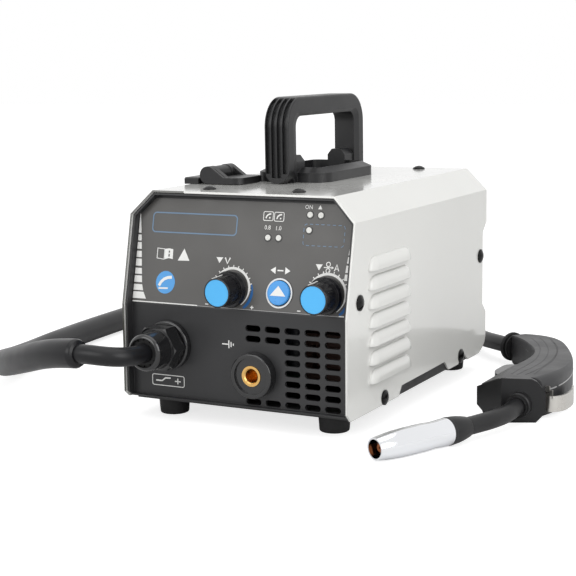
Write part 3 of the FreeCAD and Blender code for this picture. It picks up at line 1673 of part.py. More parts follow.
nodes = {
    "base_tray": base_tray,
    "main_cover": main_cover,
    "front_panel": front_panel,
    "control_label": control_label,
    "rear_panel": rear_panel,
    "centre_divider": centre_divider,
    "carry_handle": carry_handle,
    "cover_screws": cover_screws,
    "rubber_feet": rubber_feet,
    "socket_body": socket_body,
    "socket_contact": socket_contact,
    "gland_body": gland_body,
    "gland_nut": gland_nut,
    "gland_seal": gland_seal,
    "control_board": control_board,
    "potentiometers": potentiometers,
    "indicator_lenses": indicator_lenses,
    "power_board": power_board,
    "heatsinks": heatsinks,
    "transformer": transformer,
    "capacitors": capacitors,
    "fan_frame": fan_frame,
    "switch_housing": switch_housing,
    "mains_gland": mains_gland,
    "spool_spindle": spool_spindle,
    "spool_retainer": spool_retainer,
    "feeder_base": feeder_base,
    "feeder_motor": feeder_motor,
    "wire_inlet_guide": wire_inlet_guide,
    "torch_handle_upper": torch_handle_upper,
    "torch_handle_lower": torch_handle_lower,
    "torch_hand_guard": torch_hand_guard,
    "torch_hook": torch_hook,
    "torch_neck": torch_neck,
    "torch_collar": torch_collar,
    "torch_nozzle": torch_nozzle,
    "torch_tip": torch_tip,
    "torch_boot": torch_boot,
    "torch_cable": torch_cable,
    "cable_sleeve": cable_sleeve,
    "hinge_base": lambda: hinge_half("case"),
    "hinge_pins": hinge_pins,
    "spool_door": spool_door,
    "door_hinge_leaf": lambda: hinge_half("door"),
    "latch_bracket": latch_bracket,
    "latch_pin": latch_pin,
    "latch_lever": latch_lever,
    "voltage_knob": lambda: knob(knob_x[0]),
    "voltage_knob_cap": lambda: knob_cap(knob_x[0]),
    "speed_knob": lambda: knob(knob_x[1]),
    "speed_knob_cap": lambda: knob_cap(knob_x[1]),
    "choose_button": choose_button,
    "power_rocker": power_rocker,
    "fan_rotor": fan_rotor,
    "wire_spool": wire_spool,
    "drive_roller": drive_roller,
    "pressure_arm": pressure_arm,
    "idler_roller": idler_roller,
    "tension_knob": tension_knob,
    "torch_trigger": torch_trigger,
}

os.makedirs("parts", exist_ok=True)
for name, build in nodes.items():
    shape = build()
    if not shape.isValid():
        print("not valid:", name)
    shape.exportStep("parts/" + name + ".step")
print(len(nodes), "nodes")
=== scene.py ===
import json
import math

import bpy
from mathutils import Matrix, Vector
from mathutils.bvhtree import BVHTree


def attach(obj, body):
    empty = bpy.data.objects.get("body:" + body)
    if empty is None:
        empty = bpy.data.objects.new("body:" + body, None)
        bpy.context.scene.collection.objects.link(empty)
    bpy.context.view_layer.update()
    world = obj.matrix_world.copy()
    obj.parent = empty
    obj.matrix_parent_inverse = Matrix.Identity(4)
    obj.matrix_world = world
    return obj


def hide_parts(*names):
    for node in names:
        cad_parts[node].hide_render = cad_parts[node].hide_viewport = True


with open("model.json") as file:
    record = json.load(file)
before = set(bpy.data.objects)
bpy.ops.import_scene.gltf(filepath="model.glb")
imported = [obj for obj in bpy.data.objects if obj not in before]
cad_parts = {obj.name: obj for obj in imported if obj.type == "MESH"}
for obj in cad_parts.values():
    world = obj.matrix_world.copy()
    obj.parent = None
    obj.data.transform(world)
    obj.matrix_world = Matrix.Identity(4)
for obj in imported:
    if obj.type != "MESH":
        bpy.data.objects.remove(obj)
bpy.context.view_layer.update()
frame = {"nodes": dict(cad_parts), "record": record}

scene = bpy.context.scene
nodes = frame["nodes"]

# The front edge of the case, in metres: its place and height where it bends, how much it leans above
# and below that, how far back the two faces lie, and the label's thickness.
BEND_Y = -0.1373
BEND = 0.0833
LEAN = 0.226766
CHIN_RUN = 69.3
FACE_SET = 0.008
LABEL = 0.0007


# Places on the front
def front_y(z):
    """The front edge of the case at height z."""
    if z < BEND:
        return BEND_Y - (BEND - z) / CHIN_RUN
    return BEND_Y + LEAN * (z - BEND)


NORMAL = Vector((0, -1, LEAN)).normalized()
LOWER_NORMAL = Vector((0, -1, -1 / CHIN_RUN)).normalized()


def on_label(x, z, lift=0.0):
    """A point on the control label."""
    return Vector((x, front_y(z) + FACE_SET - LABEL, z)) + NORMAL * lift


def on_panel(x, z, lift=0.0):
    """A point on the lower, connection face."""
    return Vector((x, front_y(z) + FACE_SET, z)) + LOWER_NORMAL * lift


# Materials
def new_material(name):
    material = bpy.data.materials.new(name)
    material.use_nodes = True
    tree = material.node_tree
    tree.nodes.clear()
    out = tree.nodes.new("ShaderNodeOutputMaterial")
    shader = tree.nodes.new("ShaderNodeBsdfPrincipled")
    tree.links.new(shader.outputs["BSDF"], out.inputs["Surface"])
    return material, tree, shader


def linear(colour):
    """Display values to the linear values that a shader takes."""
    values = []
    for c in colour:
        values.append(c / 12.92 if c <= 0.04045 else ((c + 0.055) / 1.055) ** 2.4)
    return (values[0], values[1], values[2], 1.0)


def noise(tree, scale, detail=4.0, roughness=0.55, stretch=None):
    """Noise in the object's own metres."""
    place = tree.nodes.new("ShaderNodeTexCoord")
    texture = tree.nodes.new("ShaderNodeTexNoise")
    texture.inputs["Scale"].default_value = scale
    texture.inputs["Detail"].default_value = detail
    texture.inputs["Roughness"].default_value = roughness
    if stretch:
        mapping = tree.nodes.new("ShaderNodeMapping")
        mapping.inputs["Scale"].default_value = stretch
        tree.links.new(place.outputs["Object"], mapping.inputs["Vector"])
        tree.links.new(mapping.outputs["Vector"], texture.inputs["Vector"])
    else:
        tree.links.new(place.outputs["Object"], texture.inputs["Vector"])
    return texture.outputs["Fac"]


def ramp(tree, value, low, high, at=(0.35, 0.65)):
    node = tree.nodes.new("ShaderNodeValToRGB")
    node.color_ramp.elements[0].position = at[0]
    node.color_ramp.elements[1].position = at[1]
    node.color_ramp.elements[0].color = low
    node.color_ramp.elements[1].color = high
    tree.links.new(value, node.inputs["Fac"])
    return node.outputs["Color"]


def span(tree, value, low, high, source=(0.3, 0.7)):
    node = tree.nodes.new("ShaderNodeMapRange")
    node.inputs["From Min"].default_value = source[0]
    node.inputs["From Max"].default_value = source[1]
    node.inputs["To Min"].default_value = low
    node.inputs["To Max"].default_value = high
    tree.links.new(value, node.inputs["Value"])
    return node.outputs["Result"]


def bump(tree, shader, height, strength, distance, after=None):
    node = tree.nodes.new("ShaderNodeBump")
    node.inputs["Strength"].default_value = strength
    node.inputs["Distance"].default_value = distance
    tree.links.new(height, node.inputs["Height"])
    if after is not None:
        tree.links.new(after, node.inputs["Normal"])
    tree.links.new(node.outputs["Normal"], shader.inputs["Normal"])
    return node.outputs["Normal"]


def finish_of(
    name, colour, rough, metal=0.0, vary=0.06, grain=900.0, depth=0.00003, strength=0.25,
    rough_vary=0.06, coat=0.0, specular=0.5, stretch=None, round_edges=0.0
):
    """A finish with a slow change of tone, fine grain and uneven gloss."""
    material, tree, shader = new_material(name)
    base = linear(colour)
    slow = noise(tree, 9.0, 3.0)
    dark = tuple(c * (1 - vary) for c in base[:3]) + (1.0,)
    pale = tuple(min(1.0, c * (1 + vary)) for c in base[:3]) + (1.0,)
    tone = ramp(tree, slow, dark, pale)
    fine = noise(tree, grain, 3.0, 0.6, stretch)
    tree.links.new(tone, shader.inputs["Base Color"])
    uneven = noise(tree, 34.0, 5.0, 0.6)
    tree.links.new(
        span(tree, uneven, max(0.02, rough - rough_vary), min(1.0, rough + rough_vary)),
        shader.inputs["Roughness"],
    )
    shader.inputs["Metallic"].default_value = metal
    shader.inputs["Specular IOR Level"].default_value = specular
    if coat:
        shader.inputs["Coat Weight"].default_value = coat
        shader.inputs["Coat Roughness"].default_value = 0.08
    before = None
    if round_edges:
        soft = tree.nodes.new("ShaderNodeBevel")
        soft.samples = 4
        soft.inputs["Radius"].default_value = round_edges
        before = soft.outputs["Normal"]
    bump(tree, shader, fine, strength, depth, before)
    return material


FINISHES = (
    ("cover_paint", (0.845, 0.845, 0.832), 0.15, dict(vary=0.012, grain=700.0, depth=0.00002,
        strength=0.12, rough_vary=0.03, coat=0.45, round_edges=0.0006)),
    ("black_steel", (0.11, 0.11, 0.113), 0.42, dict(vary=0.08, grain=1200.0, depth=0.00003,
        strength=0.3)),
    ("front_black", (0.17, 0.17, 0.175), 0.4, dict(vary=0.05, specular=0.42, grain=1500.0,
        depth=0.00004, strength=0.3, round_edges=0.0005)),
    ("label_grey", (0.305, 0.3, 0.293), 0.4, dict(vary=0.03, grain=2200.0, depth=0.00002,
        strength=0.18)),
    ("handle_black", (0.11, 0.11, 0.115), 0.38, dict(vary=0.06, specular=0.42, grain=1500.0,
        depth=0.00004, strength=0.35, round_edges=0.0006)),
    ("screw_black", (0.07, 0.07, 0.07), 0.25, dict(vary=0.08, grain=900.0, depth=0.00002,
        strength=0.2, metal=0.6)),
    ("rubber", (0.085, 0.085, 0.087), 0.6, dict(vary=0.1, specular=0.35, grain=700.0, depth=0.00006,
        strength=0.35)),
    ("lead_rubber", (0.075, 0.075, 0.085), 0.34, dict(vary=0.08, specular=0.32, grain=600.0,
        depth=0.00004, strength=0.3)),
    ("gloss_black", (0.09, 0.09, 0.095), 0.16, dict(vary=0.06, grain=500.0, depth=0.00002,
        strength=0.12, coat=0.4, round_edges=0.0005)),
    ("knob_black", (0.045, 0.045, 0.06), 0.26, dict(vary=0.06, grain=1100.0, depth=0.00002,
        strength=0.2, round_edges=0.0003)),
    ("knob_blue", (0.31, 0.7, 0.935), 0.34, dict(vary=0.02, grain=1600.0, depth=0.00002,
        strength=0.15)),
    ("lens", (0.78, 0.78, 0.76), 0.12, dict(vary=0.03, grain=400.0, depth=0.00001, strength=0.1,
        coat=0.6)),
    ("brass", (0.86, 0.69, 0.42), 0.25, dict(metal=1.0, vary=0.08, grain=900.0, depth=0.00002,
        strength=0.2)),
    ("board_green", (0.08, 0.27, 0.15), 0.38, dict(vary=0.1, grain=500.0, depth=0.00003,
        strength=0.2)),
    ("alloy", (0.72, 0.73, 0.74), 0.38, dict(metal=1.0, vary=0.06, grain=260.0, depth=0.00003,
        strength=0.25, stretch=(1.0, 12.0, 1.0))),
    ("steel", (0.62, 0.62, 0.63), 0.3, dict(metal=1.0, vary=0.07, grain=700.0, depth=0.00002,
        strength=0.2)),
    ("copper_coil", (0.2, 0.11, 0.075), 0.45, dict(metal=0.3, vary=0.12, grain=700.0, depth=0.00005,
        strength=0.5, stretch=(1.0, 1.0, 6.0))),
    ("cans", (0.12, 0.13, 0.17), 0.35, dict(vary=0.06, grain=700.0, depth=0.00002, strength=0.2)),
    ("fan_black", (0.1, 0.1, 0.1), 0.45, dict(vary=0.08, grain=1200.0, depth=0.00003,
        strength=0.3)),
    ("feeder_black", (0.13, 0.13, 0.135), 0.4, dict(vary=0.08, grain=1000.0, depth=0.00004,
        strength=0.3)),
    ("spool_wire", (0.66, 0.5, 0.38), 0.32, dict(metal=0.9, vary=0.06, grain=900.0, depth=0.00006,
        strength=0.5, stretch=(9.0, 1.0, 1.0))),
    ("torch_grey", (0.195, 0.195, 0.2), 0.45, dict(vary=0.05, specular=0.36, grain=1500.0,
        depth=0.00005, strength=0.35, round_edges=0.0006)),
    ("torch_black", (0.07, 0.07, 0.075), 0.36, dict(vary=0.06, specular=0.36, grain=1400.0,
        depth=0.00004, strength=0.35, round_edges=0.0006)),
    ("hook_steel", (0.76, 0.75, 0.73), 0.28, dict(metal=1.0, vary=0.05, grain=500.0, depth=0.00002,
        strength=0.25, stretch=(1.0, 1.0, 10.0))),
    ("nozzle_chrome", (0.91, 0.915, 0.925), 0.08, dict(metal=1.0, vary=0.03, grain=300.0,
        depth=0.00001, strength=0.1, rough_vary=0.04)),
    ("tip_copper", (0.55, 0.33, 0.2), 0.4, dict(metal=1.0, vary=0.15, grain=600.0, depth=0.00003,
        strength=0.3)),
    ("ink_white", (0.9, 0.9, 0.89), 0.5, dict(vary=0.03, grain=2400.0, depth=0.00001,
        strength=0.15)),
    ("ink_blue", (0.3, 0.6, 0.85), 0.42, dict(vary=0.03, grain=2400.0, depth=0.00001,
        strength=0.15)),
    ("ink_line", (0.4, 0.5, 0.6), 0.5, dict(vary=0.03, grain=2400.0, depth=0.00001, strength=0.15)),
    ("ink_deep", (0.07, 0.33, 0.56), 0.4, dict(vary=0.03, grain=2400.0, depth=0.00001,
        strength=0.15)),
    ("ink_dark", (0.2, 0.2, 0.2), 0.5, dict(vary=0.05, grain=2400.0, depth=0.00001, strength=0.15)),
    ("seam_grey", (0.62, 0.62, 0.62), 0.45, dict(vary=0.05, grain=1500.0, depth=0.00002,
        strength=0.2)),
    ("button_blue", (0.24, 0.58, 0.86), 0.3, dict(vary=0.02, grain=1600.0, depth=0.00002,
        strength=0.15)),
    # Next: painted shade for the engraved contour grooves on the torch handle's top.
    ("line_dark", (0.16, 0.16, 0.165), 0.55, dict(vary=0.05, grain=1500.0, depth=0.00002,
        strength=0.2)),
)
MATERIALS = {name: finish_of(name, colour, rough, **more) for name, colour, rough, more in FINISHES}

SLOT_OF = {}
for part in frame["record"]["subparts"]:
    SLOT_OF[part["node"]] = part["material_slot"]


def clothe(obj, material):
    obj.data.materials.clear()
    obj.data.materials.append(MATERIALS[material])


for name, obj in nodes.items():
    slot = SLOT_OF.get(name)
    if slot in MATERIALS:
        clothe(obj, slot)
clothe(nodes["choose_button"], "button_blue")


def door_paint():
    """The cover's paint, with painted shade: dark grey on the door wherever its sheet faces forward, as
    on its front edge.
    """
    material = MATERIALS["cover_paint"].copy()
    material.name = "door_paint"
    tree = material.node_tree
    shader = [n for n in tree.nodes if n.type == "BSDF_PRINCIPLED"][0]
    paint = shader.inputs["Base Color"].links[0].from_socket
    place = tree.nodes.new("ShaderNodeTexCoord")
    split = tree.nodes.new("ShaderNodeSeparateXYZ")
    tree.links.new(place.outputs["Normal"], split.inputs["Vector"])
    forward = tree.nodes.new("ShaderNodeMapRange")
    forward.inputs["From Min"].default_value = -0.35
    forward.inputs["From Max"].default_value = -0.75
    tree.links.new(split.outputs["Y"], forward.inputs["Value"])
    edge = tree.nodes.new("ShaderNodeMix")
    edge.data_type = "RGBA"
    tree.links.new(forward.outputs["Result"], edge.inputs["Factor"])
    tree.links.new(paint, edge.inputs["A"])
    # Painted shade: this dark grey is put on the door's forward-facing faces.
    edge.inputs["B"].default_value = linear((0.27, 0.27, 0.25))
    tree.links.new(edge.outputs["Result"], shader.inputs["Base Color"])
    return material


# The doors wear the cover's paint with painted shade on their forward-facing faces.
MATERIALS["door_paint"] = door_paint()
for name in nodes:
    if SLOT_OF.get(name) == "cover_paint" and "door" in name:
        clothe(nodes[name], "door_paint")


# The lead and its sleeve
LEAD_ROUTE = [
    (-55, -161, 55), (-55, -177, 55), (-63, -191.5, 57), (-85, -196, 58.7), (-120, -186, 54),
    (-157, -167, 43), (-197, -139, 31), (-234, -98, 20), (-262, -40, 10.7), (-274, 28, 10.7),
    (-281, 98, 10.7), (-285, 168, 10.7), (-291, 240, 10.7), (-292, 318, 10.7), (-284, 393, 9),
    (-254, 460, 7), (-196, 503, 7), (-122, 511, 7), (-64, 483, 7), (-42, 422, 7), (-60, 360, 7),
    (-56, 300, 7), (-10, 256, 7.4), (38, 222, 9.5), (70, 175.5, 13), (88.6, 156.8, 15), (106, 145, 15),
]
LEAD_RADIUS = 0.0068
SLEEVE_RADIUS = 0.0103


def link(obj):
    scene.collection.objects.link(obj)
    return obj


def route_curve(name, points, radius, resolution=24):
    """A smooth round line on the route's control points."""
    data = bpy.data.curves.new(name, "CURVE")
    data.dimensions = "3D"
    data.resolution_u = resolution
    data.bevel_depth = radius
    data.bevel_resolution = 6
    data.use_fill_caps = True
    spline = data.splines.new("NURBS")
    spline.points.add(len(points) - 1)
    for place, (x, y, z) in zip(spline.points, points):
        place.co = (x / 1000, y / 1000, z / 1000, 1.0)
    spline.order_u = 3
    spline.use_endpoint_u = True
    return link(bpy.data.objects.new(name, data))


def line_points(points, resolution=24):
    """Points along the same smooth line, read from a line with no thickness."""
    bare = route_curve("bare_line", points, 0.0, resolution)
    mesh = bpy.data.meshes.new_from_object(bare)
    found = [v.co.copy() for v in mesh.vertices]
    bpy.data.objects.remove(bare)
    bpy.data.meshes.remove(mesh)
    return found


lead = route_curve("lead", LEAD_ROUTE, LEAD_RADIUS)
lead.data.materials.append(MATERIALS["lead_rubber"])
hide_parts("torch_cable")
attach(lead, "case")


def mesh_piece(name, verts, faces, material, body, smooth=True):
    data = bpy.data.meshes.new(name)
    data.from_pydata([tuple(v) for v in verts], [], faces)
    data.validate()
    data.update()
    if smooth:
        data.shade_smooth()
    obj = link(bpy.data.objects.new(name, data))
    obj.data.materials.append(MATERIALS[material])
    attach(obj, body)
    return obj


def frames_along(points):
    """Steady frames along a line: for each point its way and two directions across it."""
    ways = []
    for i in range(len(points)):
        before = points[max(0, i - 1)]
        after = points[min(len(points) - 1, i + 1)]
        ways.append((after - before).normalized())
    side = ways[0].cross(Vector((0, 0, 1)))
    if side.length < 1e-3:
        side = Vector((1, 0, 0))
    side.normalize()
    out = []
    for way in ways:
        side = (side - way * side.dot(way)).normalized()
        out.append((way, side, way.cross(side).normalized()))
    return out


def tube_mesh(name, points, radii, sides, material, body, closed_ends=True):
    """A round tube along points with a radius at each."""
    verts = []
    faces = []
    frames = frames_along(points)
    for place, radius, (way, a, b) in zip(points, radii, frames):
        for k in range(sides):
            t = 2 * math.pi * k / sides
            verts.append(place + a * (radius * math.cos(t)) + b * (radius * math.sin(t)))
    for i in range(len(points) - 1):
        for k in range(sides):
            n = (k + 1) % sides
            faces.append((i * sides + k, i * sides + n, (i + 1) * sides + n, (i + 1) * sides + k))
    if closed_ends:
        faces.append(tuple(range(sides - 1, -1, -1)))
        last = (len(points) - 1) * sides
        faces.append(tuple(last + k for k in range(sides)))
    return mesh_piece(name, verts, faces, material, body)


whole_line = line_points(LEAD_ROUTE)


def nearest(points, target):
    target = Vector(target)
    return min(range(len(points)), key=lambda i: (points[i] - target).length)


def sleeve():
    """The heavy sleeve over the first part of the lead, with its ends rounded off."""
    first = nearest(whole_line, (-0.088, -0.1955, 0.0585))
    last = nearest(whole_line, (-0.288, 0.204, 0.0107))
    places = []
    for a, b in zip(whole_line[first:last], whole_line[first + 1:last + 1]):
        steps = max(1, int((b - a).length / 0.0016))
        for k in range(steps):
            places.append(a.lerp(b, k / steps))
    places.append(whole_line[last])
    radii = []
    for i in range(len(places)):
        end = min(i, len(places) - 1 - i)
        round_off = 0.0012 * max(0.0, 1 - end / 2.0)
        radii.append(SLEEVE_RADIUS - round_off)
    piece = tube_mesh("sleeve", places, radii, 40, "lead_rubber", "case")
    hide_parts("cable_sleeve")
    return piece


sleeve()


def stroke(points, width, closed=False):
    """Four-sided pieces of a line of even width through flat points."""
    count = len(points)
    sides = []
    for i, (x, z) in enumerate(points):
        if closed:
            before, after = points[i - 1], points[(i + 1) % count]
        else:
            before, after = points[max(0, i - 1)], points[min(count - 1, i + 1)]
        way = Vector((after[0] - before[0], after[1] - before[1])).normalized()
        away = Vector((-way.y, way.x)) * (width / 2)
        sides.append(((x + away.x, z + away.y), (x - away.x, z - away.y)))
    quads = []
    for i in range(count if closed else count - 1):
        a, b = sides[i], sides[(i + 1) % count]
        quads.append([a[0], a[1], b[1], b[0]])
    return quads


def arc(x, z, radius, first, last, steps=40):
    """Points on an arc; degrees run from the right upwards."""
    found = []
    for k in range(steps + 1):
        t = math.radians(first + (last - first) * k / steps)
        found.append((x + radius * math.cos(t), z + radius * math.sin(t)))
    return found


def rounded(x0, x1, z0, z1, radius, steps=6):
    corners = ((x1 - radius, z0 + radius, -90), (x1 - radius, z1 - radius, 0),
               (x0 + radius, z1 - radius, 90), (x0 + radius, z0 + radius, 180))
    found = []
    for x, z, start in corners:
        found += arc(x, z, radius, start, start + 90, steps)
    return found


DASH_WIDTH = 0.45


def dashes(points, on, off):
    """Short runs cut from a closed line."""
    runs = []
    run = [points[0]]
    left, drawing = on, True
    for a, b in zip(points, points[1:] + points[:1]):
        a, b = Vector(a), Vector(b)
        while (b - a).length > left:
            a = a + (b - a).normalized() * left
            run.append(tuple(a))
            if drawing:
                runs.append(run)
            drawing = not drawing
            left = on if drawing else off
            run = [tuple(a)]
        left -= (b - a).length
        run.append(tuple(b))
    quads = []
    for run in runs:
        apart = [p for i, p in enumerate(run) if i == 0 or (Vector(p) - Vector(run[i - 1])).length > 0.01]
        quads += stroke(apart, DASH_WIDTH)
    return quads


def print_on(name, shapes, material, surface, body="case", lift=0.00006, thick=0.00006):
    """Flat shapes, in millimetres, as a raised layer of ink on a surface."""
    verts, faces = [], []
    for shape in shapes:
        if sum(a[0] * b[1] - b[0] * a[1] for a, b in zip(shape, shape[1:] + shape[:1])) < 0:
            shape = shape[::-1]
        start, count = len(verts), len(shape)
        verts += [surface(x / 1000, z / 1000, lift) for x, z in shape]
        verts += [surface(x / 1000, z / 1000, lift + thick) for x, z in shape]
        faces.append([start + k for k in range(count)][::-1])
        faces.append([start + count + k for k in range(count)])
        for k in range(count):
            n = (k + 1) % count
            faces.append([start + k, start + n, start + count + n, start + count + k])
    return mesh_piece(name, verts, faces, material, body, smooth=False)


def letters(name, words, surface, material="ink_white"):
    """Plain letters and numbers: each word with its middle and its height, in millimetres."""
    verts, faces = [], []
    for word, x, z, tall in words:
        data = bpy.data.curves.new(name, "FONT")
        data.body = word
        data.align_x = "CENTER"
        data.align_y = "CENTER"
        data.size = tall * 1.4
        data.resolution_u = 3
        holder = bpy.data.objects.new(name, data)
        mesh = bpy.data.meshes.new_from_object(holder)
        start = len(verts)
        verts += [surface((x + v.co.x) / 1000, (z + v.co.y) / 1000, 0.0001) for v in mesh.vertices]
        faces += [[start + k for k in p.vertices] for p in mesh.polygons]
        bpy.data.objects.remove(holder)
        bpy.data.meshes.remove(mesh)
    return mesh_piece(name, verts, faces, material, "case", smooth=False)


# On the label, in millimetres: its side and lower edges, the knobs' middles and the rings round them.
EDGE = 85.6
LABEL_FOOT = 84.4
KNOB_Z = 98.0
LEFT_KNOB_X = -4.3
RIGHT_KNOB_X = 69.5
LINE_END = -31.0
LINE_STUB = 6.0
RING_RADIUS = 13.1
SHADE_RADIUS = 15.4


def edge_marks():
    """White bars along both sides of the label, wider towards the bottom."""
    left_in = (
        (149.0, 0.15), (132.3, 2.5), (120.0, 4.0), (108.8, 5.3), (97.5, 6.7), (92.0, 8.4), (86.6, 11.4)
    )
    right_in = ((145.0, 0.8), (131.5, 1.8), (127.2, 2.4), (115.7, 3.7), (108.0, 4.4))

    def width(table, z):
        for (z1, w1), (z0, w0) in zip(table, table[1:]):
            if z0 <= z <= z1:
                return w0 + (w1 - w0) * (z - z0) / (z1 - z0)
        return table[-1][1] if z < table[-1][0] else table[0][1]

    spans = ((132.7, 149.0), (127.2, 131.8), (121.3, 126.5), (115.5, 120.3), (109.4, 114.8),
             (103.7, 108.3), (97.9, 103.0), (92.3, 96.9), (86.6, 91.7))
    shapes = []
    for z0, z1 in spans:
        z0, z1 = z0 + 0.2, z1 - 0.2
        shapes.append([(-EDGE, z0), (-EDGE + width(left_in, z0), z0),
                       (-EDGE + width(left_in, z1), z1), (-EDGE, z1)])
    for z0, z1 in ((131.5, 145.0), (125.0, 129.6), (119.6, 123.9), (113.4, 118.2), (108.2, 112.4)):
        shapes.append([(EDGE - width(right_in, z0), z0), (EDGE, z0),
                       (EDGE, z1), (EDGE - width(right_in, z1), z1)])
    line_top = LABEL_FOOT + 0.75
    for x0, x1 in ((-EDGE, LINE_END), (EDGE - LINE_STUB, EDGE)):
        shapes.append([(x0, LABEL_FOOT), (x1, LABEL_FOOT), (x1, line_top), (x0, line_top)])
    return shapes


def dial(x, z=KNOB_Z):
    """Tick ring round a knob: a band that thins on its way down the right side."""
    shapes = []
    steps = 56
    first, last = 156.0, -52.0
    for k in range(steps):
        pair = []
        for t in (k / steps, (k + 1) / steps):
            angle = first + (last - first) * t
            wide = 1.7 if angle > 10 else max(0.4, 1.7 - (10 - angle) * 0.022)
            a = math.radians(angle)
            reach = (RING_RADIUS, RING_RADIUS + wide)
            pair.append([(x + r * math.cos(a), z + r * math.sin(a)) for r in reach])
        shapes.append([pair[0][0], pair[0][1], pair[1][1], pair[1][0]])
    for k in range(11):
        a = math.radians(150 - 15 * k)
        way = Vector((math.cos(a), math.sin(a)))
        place = Vector((x, z))
        shapes += stroke([tuple(place + way * 14.7), tuple(place + way * 16.1)], 0.7)
    return shapes


def dial_shade(x, z=KNOB_Z):
    """Blue crescent outside the lower right of the tick ring."""
    shapes = []
    steps = 30
    for k in range(steps):
        pair = []
        for t in (k / steps, (k + 1) / steps):
            a = math.radians(14.0 - 84.0 * t)
            wide = 2.1 * math.sin(math.pi * min(1.0, 0.08 + t * 0.92)) ** 0.6
            reach = (SHADE_RADIUS, SHADE_RADIUS + max(0.05, wide))
            pair.append([(x + r * math.cos(a), z + r * math.sin(a)) for r in reach])
        if min(point[1] for point in pair[0] + pair[1]) > LABEL_FOOT + 0.5:
            shapes.append([pair[0][0], pair[0][1], pair[1][1], pair[1][0]])
    return shapes


def artwork():
    """Plain marks on the label and the lower face, with a few generic letters and numbers."""
    white = edge_marks() + dial(LEFT_KNOB_X) + dial(RIGHT_KNOB_X)
    white += stroke([(-68.0, 122.8), (-62.0, 122.4), (-62.0, 115.2), (-68.0, 115.8)], 0.7, closed=True)
    white.append([
        (-61.6, 122.5), (-58.2, 123.0), (-55.0, 122.5), (-54.7, 115.6), (-58.0, 116.2), (-61.6, 115.2)
    ])
    white.append([(-50.4, 114.9), (-40.7, 115.1), (-45.7, 123.4)])
    white.append([(-18.7, 118.8), (-16.0, 114.8), (-13.3, 118.9)])
    white += stroke([(-11.6, 118.9), (-9.6, 114.9), (-7.6, 118.9)], 1.0)
    white.append([(59.3, 118.0), (61.9, 114.0), (64.5, 118.1)])
    for z in (118.3, 114.1):
        white += stroke(arc(68.7, z, 1.45, 0, 360, 24)[:-1], 0.6, closed=True)
    white += stroke([(65.4, 116.2), (71.4, 116.2)], 0.6)
    white.append([(71.2, 117.2), (71.2, 115.2), (73.0, 116.2)])
    white += stroke([(73.5, 114.2), (75.1, 118.4), (76.7, 114.2)], 0.8)
    white += stroke([(74.2, 115.6), (76.0, 115.6)], 0.6)
    for x0, x1, z0, z1 in ((15.9, 23.4, 145.4, 151.4), (24.4, 31.8, 145.2, 151.2)):
        white += stroke(rounded(x0, x1, z0, z1, 1.0), 0.5, closed=True)
        bow = ((1.9, 1.5), (2.7, 3.3), (4.2, 4.3), (5.8, 4.6))
        white += stroke([(x0 + x, z0 + z) for x, z in bow], 1.0)
        white.append(arc(x0 + 4.9, z0 + 1.9, 0.6, 0, 360, 12)[:-1])
    white.append([(25.0, 112.3), (29.0, 109.9), (29.0, 114.7)])
    white.append([(40.4, 112.3), (36.4, 114.7), (36.4, 109.9)])
    white += stroke([(30.4, 112.3), (35.0, 112.3)], 0.9)
    white.append([(57.3, 154.3), (60.5, 154.3), (58.9, 157.0)])
    print_on("label_marks", white, "ink_white", on_label)
    badge = stroke(rounded(-74.0, -4.7, 134.2, 147.8, 2.6), 0.9, closed=True)
    badge += dashes(rounded(48.0, 78.8, 130.0, 144.2, 2.0), 2.4, 1.9)
    print_on("label_frames", badge, "ink_line", on_label)
    print_on("blue_marks", [arc(-59.1, 99.2, 7.9, 0, 360, 56)[:-1]], "ink_blue", on_label)
    print_on("dial_shade_left", dial_shade(LEFT_KNOB_X), "ink_deep", on_label)
    print_on("dial_shade_right", dial_shade(RIGHT_KNOB_X), "ink_deep", on_label)
    torch = [(-64.2, 96.6), (-62.8, 99.2), (-60.4, 101.4), (-57.4, 102.6), (-54.0, 103.0)]
    picture = stroke(torch, 2.1)
    picture += stroke([(-64.4, 94.9), (-56.6, 95.2)], 1.1)
    print_on("blue_mark_picture", picture, "ink_white", on_label, lift=0.00016)
    book = stroke([(-58.0, 121.4), (-58.0, 120.0)], 1.0) + stroke([(-58.0, 119.2), (-58.0, 117.2)], 1.0)
    print_on("book_lines", book, "label_grey", on_label, lift=0.00016)
    words = [("0.8", 19.8, 140.6, 2.9), ("1.0", 28.2, 140.4, 2.9), ("ON", 50.4, 155.4, 2.7)]
    letters("label_numbers", words, on_label)
    halo = []
    for x, z in ((20.8, 133.8), (29.1, 133.9), (51.8, 150.3), (60.0, 150.2), (52.0, 140.0)):
        halo += stroke(arc(x, z, 2.5, 0, 360, 30)[:-1], 0.7, closed=True)
    print_on("lamp_rims", halo, "ink_dark", on_label)
    signs = stroke([(-24.6, 86.3), (-22.0, 86.3)], 0.7) + stroke([(11.6, 86.3), (14.2, 86.3)], 0.7)
    signs += stroke([(12.9, 85.1), (12.9, 87.5)], 0.7) + stroke([(48.1, 86.3), (50.7, 86.3)], 0.7)
    print_on("sign_marks", signs, "ink_white", on_label)
    x0, x1, z0, z1 = LINE_END, EDGE - LINE_STUB, LABEL_FOOT, LABEL_FOOT + 0.35
    print_on("label_foot", [[(x0, z0), (x1, z0), (x1, z1), (x0, z1)]], "seam_grey", on_label)
    lower = stroke(rounded(-70.1, -43.3, 24.6, 32.4, 1.4), 0.55, closed=True)
    lower += stroke([(-67.1, 28.0), (-61.9, 28.0), (-59.1, 30.2), (-54.7, 30.4)], 1.0)
    lower += stroke([(-51.1, 28.4), (-46.3, 28.4)], 0.8) + stroke([(-48.7, 26.4), (-48.7, 30.6)], 0.8)
    lower += stroke([(-11.3, 59.0), (-5.9, 59.0)], 0.8) + stroke([(-5.9, 56.2), (-5.9, 61.8)], 0.8)
    lower += stroke([(-4.1, 57.2), (-4.1, 60.8)], 0.8) + stroke([(-2.3, 58.2), (-2.3, 59.8)], 0.8)
    print_on("panel_marks", lower, "ink_white", on_panel)


artwork()


def highest(node, way):
    return max(v.co.dot(way) for v in nodes[node].data.vertices)


